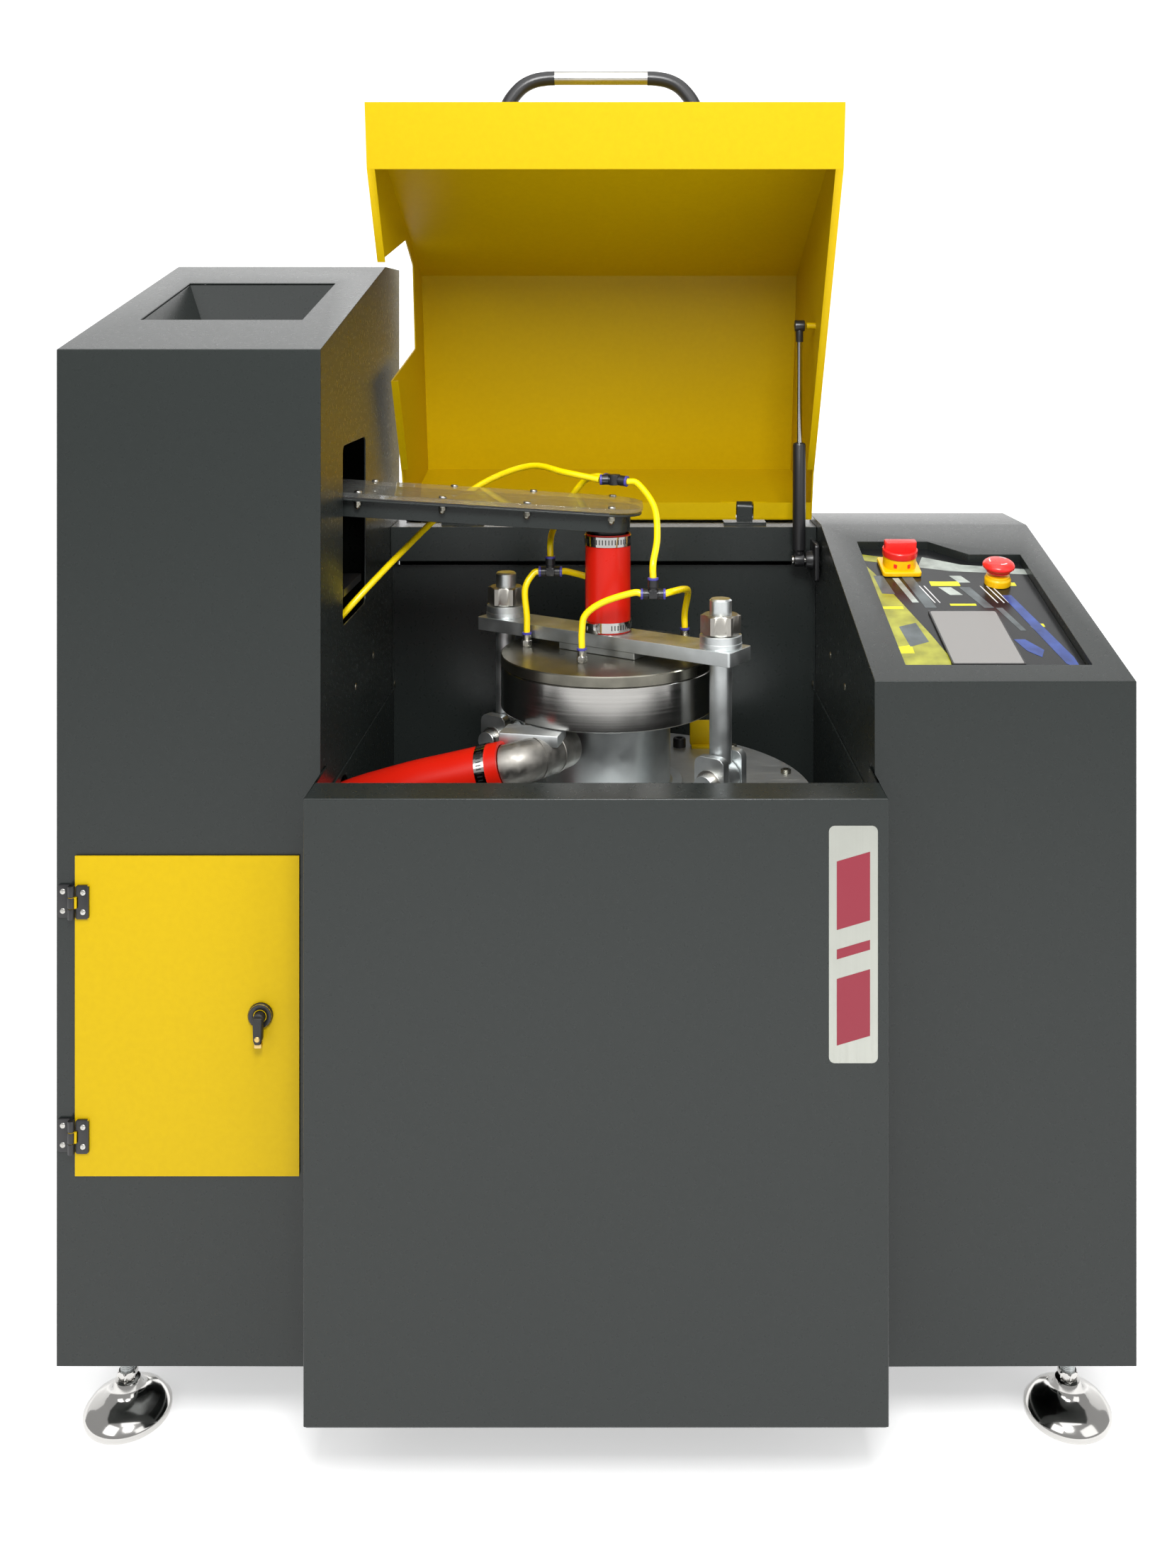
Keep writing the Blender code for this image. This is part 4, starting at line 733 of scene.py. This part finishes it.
def clamp_fittings():
    """The heavy nuts, split washers, swing bolts, clevis screws, plate screws and the plate's tab."""
    for side, x in (("left", -STUD_X), ("right", STUD_X)):
        stud = CLAMP @ Matrix.Translation((x, 0, 0))
        bm = bmesh.new()
        hex_nut(bm, stud @ Matrix.Translation((0, 0, 0.7700)), 0.0408, 0.0230, 0.0134, 0.06)
        piece(f"clamp_nut_{side}_body", bm, MACHINED, f"clamp_nut_{side}", f"clamp_nut_{side}", "satin_steel")
        bm = bmesh.new()
        for low, high, radius in ((BAR_TOP + 0.0002, 0.7612, 0.0250), (0.7618, 0.7697, 0.0238)):
            turned(bm, rounded_ends(tube_wall(0.0140, radius, low, high), 0.0010), stud, 48, closed=True)
        piece(f"stud_washers_{side}", bm, PLATED, "grinding_unit", slot="satin_steel")
        bm = bmesh.new()
        low = PLATE_TOP + 0.0595
        turned(bm, [(0, low), (0.0130, low), (0.0130, 0.8090), (0.0112, 0.8110), (0, 0.8110)], stud, 48)
        across = stud @ Matrix.Translation((0, 0, PLATE_TOP + 0.041)) @ Matrix.Rotation(math.pi / 2, 4, "X")
        turned(bm, rounded_ends(tube_wall(0, 0.0190, -0.0135, 0.0135), 0.0020), across, 48)
        piece(f"swing_bolt_{side}_body", bm, PLATED, "grinding_unit", f"swing_bolt_{side}", "satin_steel")
        bm = bmesh.new()
        head = [(0, 0.0268), (0.0128, 0.0268), (0.0128, 0.0405), (0.0062, 0.0405), (0.0062, 0.0340)]
        turned(bm, rounded_ends([*head, (0, 0.0340)], 0.0008), across, 36)
        turned(bm, rounded_ends(tube_wall(0, 0.0160, 0.0271, 0.0291), 0.0004), across, 36)
        piece(f"clevis_screw_{side}", bm, BRIGHT, "grinding_unit", slot="satin_steel")
    bm = bmesh.new()
    for i in range(12):
        turn = math.radians(15 + 30 * i)
        place = at(VESSEL[0] + 0.232 * math.cos(turn), VESSEL[1] + 0.232 * math.sin(turn), PLATE_TOP)
        cap_screw(bm, Matrix.Translation(place), 0.0065, 0.0050)
    piece("plate_screws", bm, OXIDE, "grinding_unit", slot="blackened_steel")
    bm = bmesh.new()
    upright = frame_at(at(0, 0.372, PLATE_TOP), (0, -1, 0), (1, 0, 0))
    prism(bm, rounded((0.118, 0.0002), (0.168, 0.0345), 0.005), 0, 0.004, upright, 0.0008)
    block(bm, (0.120, -0.0002, 0.0042), (0.150, 0.0030, 0.0160), upright, 0.0006)
    piece("plate_tab", bm, YELLOW, "grinding_unit", slot="yellow_paint")
    bm = bmesh.new()
    cap_screw(bm, Matrix.Translation(at(0.104, 0.366, PLATE_TOP)), 0.0085, 0.0120)
    piece("plate_tab_screw", bm, BLACK, "grinding_unit", slot="black_plastic")


def vessel():
    """The turned bowl with its lid, the pedestal under it and the round vibrating plate."""
    place = Matrix.Translation(at(*VESSEL, 0))
    bowl = [(0, 0.6662), (0.1285, 0.6662), (0.1300, 0.6677), (0.1300, 0.7162), (0.1290, 0.7172)]
    bowl += [(0.1122, 0.7172), (0.1122, 0.6782), (0, 0.6782)]
    lid = [(0.0170, 0.7180), (0.1298, 0.7180), (0.1305, 0.7187), (0.1305, 0.7293), (0.1293, 0.7305)]
    lid += [(0.0170, 0.7305)]
    foot = [(0, 0.5625), (0.0905, 0.5625), (0.0920, 0.5640), (0.0920, 0.5730), (0.0910, 0.5740)]
    foot += [(0.0790, 0.5740), (0.0762, 0.5768), (0.0760, 0.6655), (0, 0.6655)]
    plate = [(0, 0.5480), (0.2485, 0.5480), (0.2500, 0.5495), (0.2500, 0.5605), (0.2485, 0.5620), (0, 0.5620)]
    for name, profile, finish, closed, slot in (
        ("grinding_bowl", bowl, TURNED, False, "satin_steel"),
        ("bowl_lid", lid, OXIDE, True, "blackened_steel"),
        ("bowl_pedestal", foot, PLATED, False, "satin_steel"),
        ("vibrating_plate", plate, GROUND, False, "satin_steel"),
    ):
        bm = bmesh.new()
        turned(bm, profile, place, 128, closed)
        piece(name + "_turned", bm, finish, "grinding_unit", name, slot)


def feeder_fittings():
    """The gasket under the clear cover, and the screws and cap nuts that hold it."""
    bm = bmesh.new()
    for side in (-1, 1):
        edge = sorted((side * 0.0648, side * 0.0515))
        block(bm, (-0.5280, edge[0], 0.0002), (0.0020, edge[1], 0.0018), FEEDER)
    piece("feeder_gasket", bm, SOFT_BLACK, "feeder", slot="black_plastic")
    bm, nuts = bmesh.new(), bmesh.new()
    for x in (-0.495, -0.395, -0.295, -0.195, -0.095, 0.005):
        for y in (-0.0585, 0.0585):
            head = FEEDER @ Matrix.Translation((x, y, 0.0070))
            turned(bm, rounded_ends([(0, 0), (0.0048, 0), (0.0044, 0.0022), (0, 0.0030)], 0.0005), head, 20)
            under = FEEDER @ Matrix.Translation((x, y, -0.0026)) @ Matrix.Rotation(math.pi, 4, "X")
            turned(bm, rounded_ends(tube_wall(0, 0.0045, 0, 0.0010), 0.0003), under, 20)
            hex_nut(nuts, under @ Matrix.Translation((0, 0, 0.0010)), 0.0080, 0.0044)
            dome = [(0.0036, 0.0054), (0.0035, 0.0072), (0.0027, 0.0086), (0.0014, 0.0094), (0, 0.0096)]
            turned(nuts, [(0, 0.0050), *dome], under, 20)
    piece("feeder_screws", bm, BRIGHT, "feeder", slot="polished_steel")
    piece("feeder_cap_nuts", nuts, OXIDE, "feeder", slot="blackened_steel")


def panel_print():
    """Plain coloured shapes under the film, where the real panel carries a printed picture."""
    band = [(0.412, 0.318), (0.452, 0.306), (0.549, 0.296), (0.549, 0.312), (0.470, 0.326), (0.424, 0.350)]
    edge = [(0.342, 0.0374), (0.395, 0.0374), (0.400, 0.075), (0.390, 0.130), (0.3525, 0.300)]
    pinstripes = (0.412, 0.418, 0.489, 0.497, 0.503)
    shades = {
        "olive": (FILM_OLIVE, [
            [*edge, (0.342, 0.335)],
            [(0.342, 0.340), (0.368, 0.332), (0.372, 0.350), (0.342, 0.360)],
        ]),
        "bar": (FILM_YELLOW, [
            oblong(0.418, 0.262, 0.455, 0.275),
            oblong(0.508, 0.262, 0.526, 0.272),
            oblong(0.346, 0.197, 0.371, 0.204),
            [(0.346, 0.084), (0.362, 0.084), (0.362, 0.104), (0.346, 0.100)],
            oblong(0.430, 0.206, 0.462, 0.2115),
            oblong(0.516, 0.150, 0.530, 0.158),
        ]),
        "pale": (FILM_PALE, [
            [(0.402, 0.0374), (0.540, 0.0374), (0.520, 0.047), (0.440, 0.051), (0.398, 0.046)],
            band,
            [(0.455, 0.272), (0.470, 0.272), (0.462, 0.292), (0.447, 0.292)],
            [(0.436, 0.236), (0.452, 0.236), (0.442, 0.258), (0.426, 0.258)],
            [(0.385, 0.215), (0.393, 0.215), (0.381, 0.285), (0.373, 0.285)],
        ]),
        "grey": (FILM_GREY, [
            [(0.398, 0.200), (0.412, 0.200), (0.398, 0.300), (0.384, 0.300)],
            [(0.470, 0.200), (0.482, 0.200), (0.466, 0.258), (0.452, 0.258)],
            [(0.498, 0.140), (0.505, 0.140), (0.492, 0.200), (0.484, 0.200)],
            [(0.512, 0.150), (0.520, 0.130), (0.527, 0.135), (0.519, 0.170)],
            [(0.360, 0.100), (0.384, 0.112), (0.378, 0.160), (0.356, 0.150)],
            [(0.352, 0.240), (0.368, 0.238), (0.362, 0.292), (0.350, 0.292)],
        ]),
        "line": (FILM_WHITE, [
            [(x, 0.214), (x + 0.0016, 0.214), (x - 0.0084, 0.262), (x - 0.0100, 0.262)] for x in pinstripes
        ]),
        "blue": (FILM_BLUE, [
            [(0.492, 0.090), (0.505, 0.075), (0.512, 0.092), (0.497, 0.118), (0.484, 0.118)],
            [(0.528, 0.060), (0.541, 0.045), (0.541, 0.075), (0.512, 0.235), (0.500, 0.235)],
        ]),
    }
    for i, (name, (finish, shapes)) in enumerate(shades.items()):
        bm = bmesh.new()
        for shape in shapes:
            prism(bm, shape, PANEL_DEPTH + 0.00002, PANEL_DEPTH + 0.00012 + 0.00003 * i, CONSOLE)
        piece("panel_print_" + name, bm, finish, "machine", slot="control_film")


def screen_edge():
    """The black edge round the touch screen's glass."""
    outer = rounded((0.3985, 0.0545), (0.4815, 0.1885), 0.002, 3)
    inner = rounded((0.4003, 0.0563), (0.4797, 0.1867), 0.001, 3)
    bm = bmesh.new()
    rows = []
    for loop, height in ((outer, -0.0108), (outer, -0.0084), (inner, -0.0083)):
        rows.append([bm.verts.new(CONSOLE @ Vector((*p, height))) for p in loop])
    skin(bm, rows)
    piece("screen_edge", bm, BLACK, "machine", slot="black_plastic")


def on_panel(x, s):
    return CONSOLE @ Matrix.Translation((x, s, PANEL_DEPTH + GAP))


def main_switch():
    """The main switch: a yellow base with red padlock slots, and the red knob with its grip."""
    place = on_panel(*SWITCH_AT)
    bm = bmesh.new()
    prism(bm, rounded((-0.025, -0.025), (0.025, 0.025), 0.0045, 5), 0, 0.006, place, 0.0012, 3)
    turned(bm, rounded_ends(tube_wall(0, 0.0212, 0.005, 0.0200), 0.0012), place, 64)
    piece("switch_base_body", bm, SIGNAL_YELLOW, "machine", "switch_base", "switch_yellow")
    bm = bmesh.new()
    for turn in (-2.0, -1.15, 0.4, 2.6):
        slot = place @ Matrix.Rotation(turn, 4, "Z")
        block(bm, (0.0205, -0.0022, 0.0092), (0.0214, 0.0022, 0.0150), slot, 0.0003)
    piece("switch_slots", bm, SIGNAL_RED, "machine", slot="knob_red")
    place = place @ Matrix.Translation((0, 0, 0.0205))
    bm = bmesh.new()
    dish = [(0.0, 0.0), (0.0222, 0.0), (0.0225, 0.0010), (0.0225, 0.0078), (0.0217, 0.0088), (0.0196, 0.0088)]
    turned(bm, [*dish, (0.0190, 0.0080), (0.0186, 0.0042), (0, 0.0040)], place, 64)
    grip = rounded((-0.0205, -0.0062), (0.0205, 0.0062), 0.0030, 4)
    prism(bm, grip, 0.0036, 0.0188, place, 0.0012, 3)
    piece("switch_knob_body", bm, SIGNAL_RED, "switch_knob", "switch_knob", "knob_red")


def emergency_stop():
    """The mushroom button on its yellow collar, with three turn-to-release arrows."""
    place = on_panel(*ESTOP_AT)
    bm = bmesh.new()
    collar = [(0, 0), (0.0165, 0), (0.0165, 0.0075), (0.0148, 0.0100), (0.0146, 0.0124), (0, 0.0124)]
    turned(bm, rounded_ends(collar, 0.0008), place, 56)
    piece("estop_collar", bm, SIGNAL_YELLOW, "machine", "estop_base", "switch_yellow")
    place = place @ Matrix.Translation((0, 0, 0.0175))
    bm = bmesh.new()
    skirt = [(0, 0), (0.0150, 0), (0.0150, 0.0022), (0.0178, 0.0040), (0.0200, 0.0062), (0.0200, 0.0085)]
    dome = [(0.0190, 0.0105), (0.0165, 0.0126), (0.0120, 0.0139), (0.0060, 0.0144), (0, 0.0145)]
    turned(bm, skirt + dome, place, 72)
    piece("estop_head", bm, SIGNAL_RED, "estop_button", "estop_button", "knob_red", 50)
    bm = bmesh.new()
    turns = [0.11 * i for i in range(8)]
    for third in range(3):
        start = 0.5 + third * 2 * math.pi / 3
        arc = [(0.0125 * math.cos(start + t), 0.0125 * math.sin(start + t)) for t in turns]
        arc += [(0.0108 * math.cos(start + t), 0.0108 * math.sin(start + t)) for t in reversed(turns)]
        prism(bm, arc, 0.01375, 0.01425, place)
    piece("estop_arrows", bm, FILM_WHITE, "estop_button", slot="knob_red")


def name_plate():
    """A blank brushed plate with a plain red geometric mark."""
    face = frame_at(at(0, -0.0866, 0), (0, -1, 0), (1, 0, 0))
    bm = bmesh.new()
    prism(bm, rounded((0.239, 0.374), (0.289, 0.6165), 0.006, 5), -0.0002, 0.0004, face)
    piece("name_plate", bm, PLATE_SILVER, "machine", slot="satin_steel")
    bm = bmesh.new()
    inset, slant = 0.008, 0.010
    for low, high in ((0.392, 0.470), (0.480, 0.500), (0.510, 0.590)):
        left, right = 0.239 + inset, 0.289 - inset
        shape = [(left, low), (right, low + slant), (right, high), (left, high - slant)]
        prism(bm, shape, 0.0004, 0.0006, face)
    piece("name_plate_mark", bm, PLATE_RED, "machine", slot="satin_steel")


def cabinet_fittings():
    """Liner screws, rear screws, a black strip on the rear beam that is painted shade for the shadow in the
    gap under the lid, and the rear vents.
    """
    bm = bmesh.new()
    for x, side in ((-0.2965, 1), (0.2985, -1)):
        for y, z in ((0.060, 0.600), (0.180, 0.690), (0.300, 0.700), (0.470, 0.620)):
            pan_screw(bm, frame_at(at(x + side * 0.0016, y, z), (side, 0, 0)), 0.0045, 0.0018)
    piece("liner_screws", bm, OXIDE, "machine", slot="blackened_steel")
    bm = bmesh.new()
    for x in (-0.560, -0.325, -0.280, 0.280, 0.325, 0.560):
        for z in (0.060, 0.280, 0.500, 0.700):
            pan_screw(bm, frame_at((x, REAR, UNDER + z), (0, 1, 0)), 0.0055, 0.0016)
    piece("rear_screws", bm, BRIGHT, "machine", slot="polished_steel")
    # Painted shade: a black strip on the rear beam's top, standing in for the shadow in the gap under the
    # lid's rear edge; it is not a real seal.
    bm = bmesh.new()
    block(bm, (-0.285, 0.5135, 0.8432), (0.290, 0.5360, 0.8462), CABINET, 0.0008)
    piece("beam_shade_strip", bm, SOFT_BLACK, "machine", slot="black_plastic")
    bm = bmesh.new()
    rear = Matrix.Translation((0, REAR, UNDER))
    for row in range(7):
        for x in (-0.090, 0.030):
            low = 0.150 + 0.022 * row
            block(bm, (x, -0.0009, low), (x + 0.080, 0.0009, low + 0.006), rear, 0.0004)
    piece("rear_vent_slots", bm, SOFT_BLACK, "machine", slot="black_plastic")


# ---------------------------------------------------------------- carried-over CAD nodes


def dress():
    """Gives every CAD node that stays in view its finish and softened folds."""
    finishes = {
        GREY: "base_frame tower_shell tower_back_panel console_shell console_back_panel front_cover "
        "well_liner rear_beam well_back_panel hopper feeder_trough",
        YELLOW: "lid door",
        PLATED: "sample_shelf clamp_bar clevis_left clevis_right",
        TURNED: "grinding_ring grinding_puck sample_cup motor_rotor",
        BRIGHT: "support_spring_1 support_spring_2 support_spring_3 support_spring_4",
        MOTOR: "motor_housing",
        BLACK: "feeder_drive",
        CLEAR: "feeder_cover",
        SCREEN: "touchscreen",
        FILM: "control_plate",
    }
    for finish, names in finishes.items():
        for name in names.split():
            nodes[name].data.materials.clear()
            nodes[name].data.materials.append(finish)
    folds = {
        0.0016: "tower_shell console_shell front_cover",
        0.0012: "rear_beam clevis_left clevis_right",
        0.0010: "clamp_bar",
        0.0009: "lid",
        0.0008: "feeder_trough",
        0.0006: "door",
        0.0005: "hopper feeder_cover",
        0.0004: "touchscreen",
    }
    for width, names in folds.items():
        for name in names.split():
            soften(nodes[name], width)


def soften(node, width):
    """Rounds a node's folds without touching its mesh."""
    weld = node.modifiers.new("weld", "WELD")
    weld.merge_threshold = 1e-5
    bevel = node.modifiers.new("folds", "BEVEL")
    bevel.width = width
    bevel.segments = 3
    bevel.limit_method = "ANGLE"
    bevel.angle_limit = math.radians(32)
    bevel.use_clamp_overlap = True
    bevel.miter_outer = "MITER_ARC"
    normals = node.modifiers.new("normals", "WEIGHTED_NORMAL")
    normals.keep_sharp = False
    normals.weight = 80


# ---------------------------------------------------------------- stage


def viewpoint():
    """A level camera before the machine, shifted down to keep its uprights parallel."""
    scene = bpy.context.scene
    data = bpy.data.cameras.new("camera")
    data.lens = 32.55
    data.shift_x = -0.024
    data.shift_y = -0.294
    data.clip_end = 60
    camera = bpy.data.objects.new("camera", data)
    scene.collection.objects.link(camera)
    camera.location = (0.0292, FRONT - 1.535, UNDER + 1.130)
    camera.rotation_euler = (math.pi / 2, 0, 0)
    scene.camera = camera
    scene.view_settings.view_transform = "Standard"


def studio():
    """A pale floor that curves up into a wall, and pale air round it."""
    bm = bmesh.new()
    bend, steps = 3.0, 16
    turns = [math.pi / 2 * k / steps for k in range(1, steps + 1)]
    curve = [(bend + bend * math.sin(t), bend - bend * math.cos(t)) for t in turns]
    profile = [(-9.0, 0.0), (bend, 0.0), *curve, (2 * bend, 9.0)]
    rows = [[bm.verts.new((x, y, z)) for x in (-12, 12)] for y, z in profile]
    for a, b in zip(rows, rows[1:]):
        bm.faces.new((a[0], a[1], b[1], b[0]))
    mesh = bpy.data.meshes.new("studio")
    bm.to_mesh(mesh)
    bm.free()
    mesh.shade_smooth()
    pale = Finish("pale_studio", (0.86, 0.86, 0.86), 0.9)
    pale.set("Emission Color", (1, 1, 1, 1))
    pale.set("Emission Strength", 0.49)
    mesh.materials.append(pale.material)
    backdrop = bpy.data.objects.new("studio", mesh)
    bpy.context.scene.collection.objects.link(backdrop)
    world = bpy.data.worlds.new("studio_air")
    world.use_nodes = True
    background = world.node_tree.nodes["Background"]
    background.inputs["Color"].default_value = (1.0, 1.0, 1.0, 1)
    background.inputs["Strength"].default_value = 0.44
    bpy.context.scene.world = world


def lights():
    """Broad soft lamps round the machine, and a small one aimed into the open well."""
    for name, where, aim, size, power in (
        ("key", (-2.3, -3.0, 3.3), (0, 0, 0.8), 2.2, 37),
        ("fill", (2.8, -2.6, 2.2), (0, 0, 0.8), 2.4, 24),
        ("top", (0.2, -0.6, 3.6), (0, 0.1, 0.8), 2.6, 38),
        ("well", (0.10, -1.9, 2.25), (0.02, 0.30, 0.84), 0.7, 50),
        ("backdrop", (0.0, 2.0, 4.2), (0, 5.5, 1.5), 4.0, 150),
    ):
        light = bpy.data.lights.new(name, "AREA")
        light.size = size
        light.energy = power
        lamp = bpy.data.objects.new(name, light)
        bpy.context.scene.collection.objects.link(lamp)
        lamp.location = where
        lamp.rotation_euler = (Vector(aim) - Vector(where)).to_track_quat("-Z", "Y").to_euler()


viewpoint()
studio()
lights()
cords()
dress()
feet()
door_hinges()
door_latch()
lid_fittings()
gas_strut()
inlet()
chute()
vessel()
air_lines()
clamp_fittings()
feeder_fittings()
panel_print()
screen_edge()
main_switch()
emergency_stop()
name_plate()
cabinet_fittings()
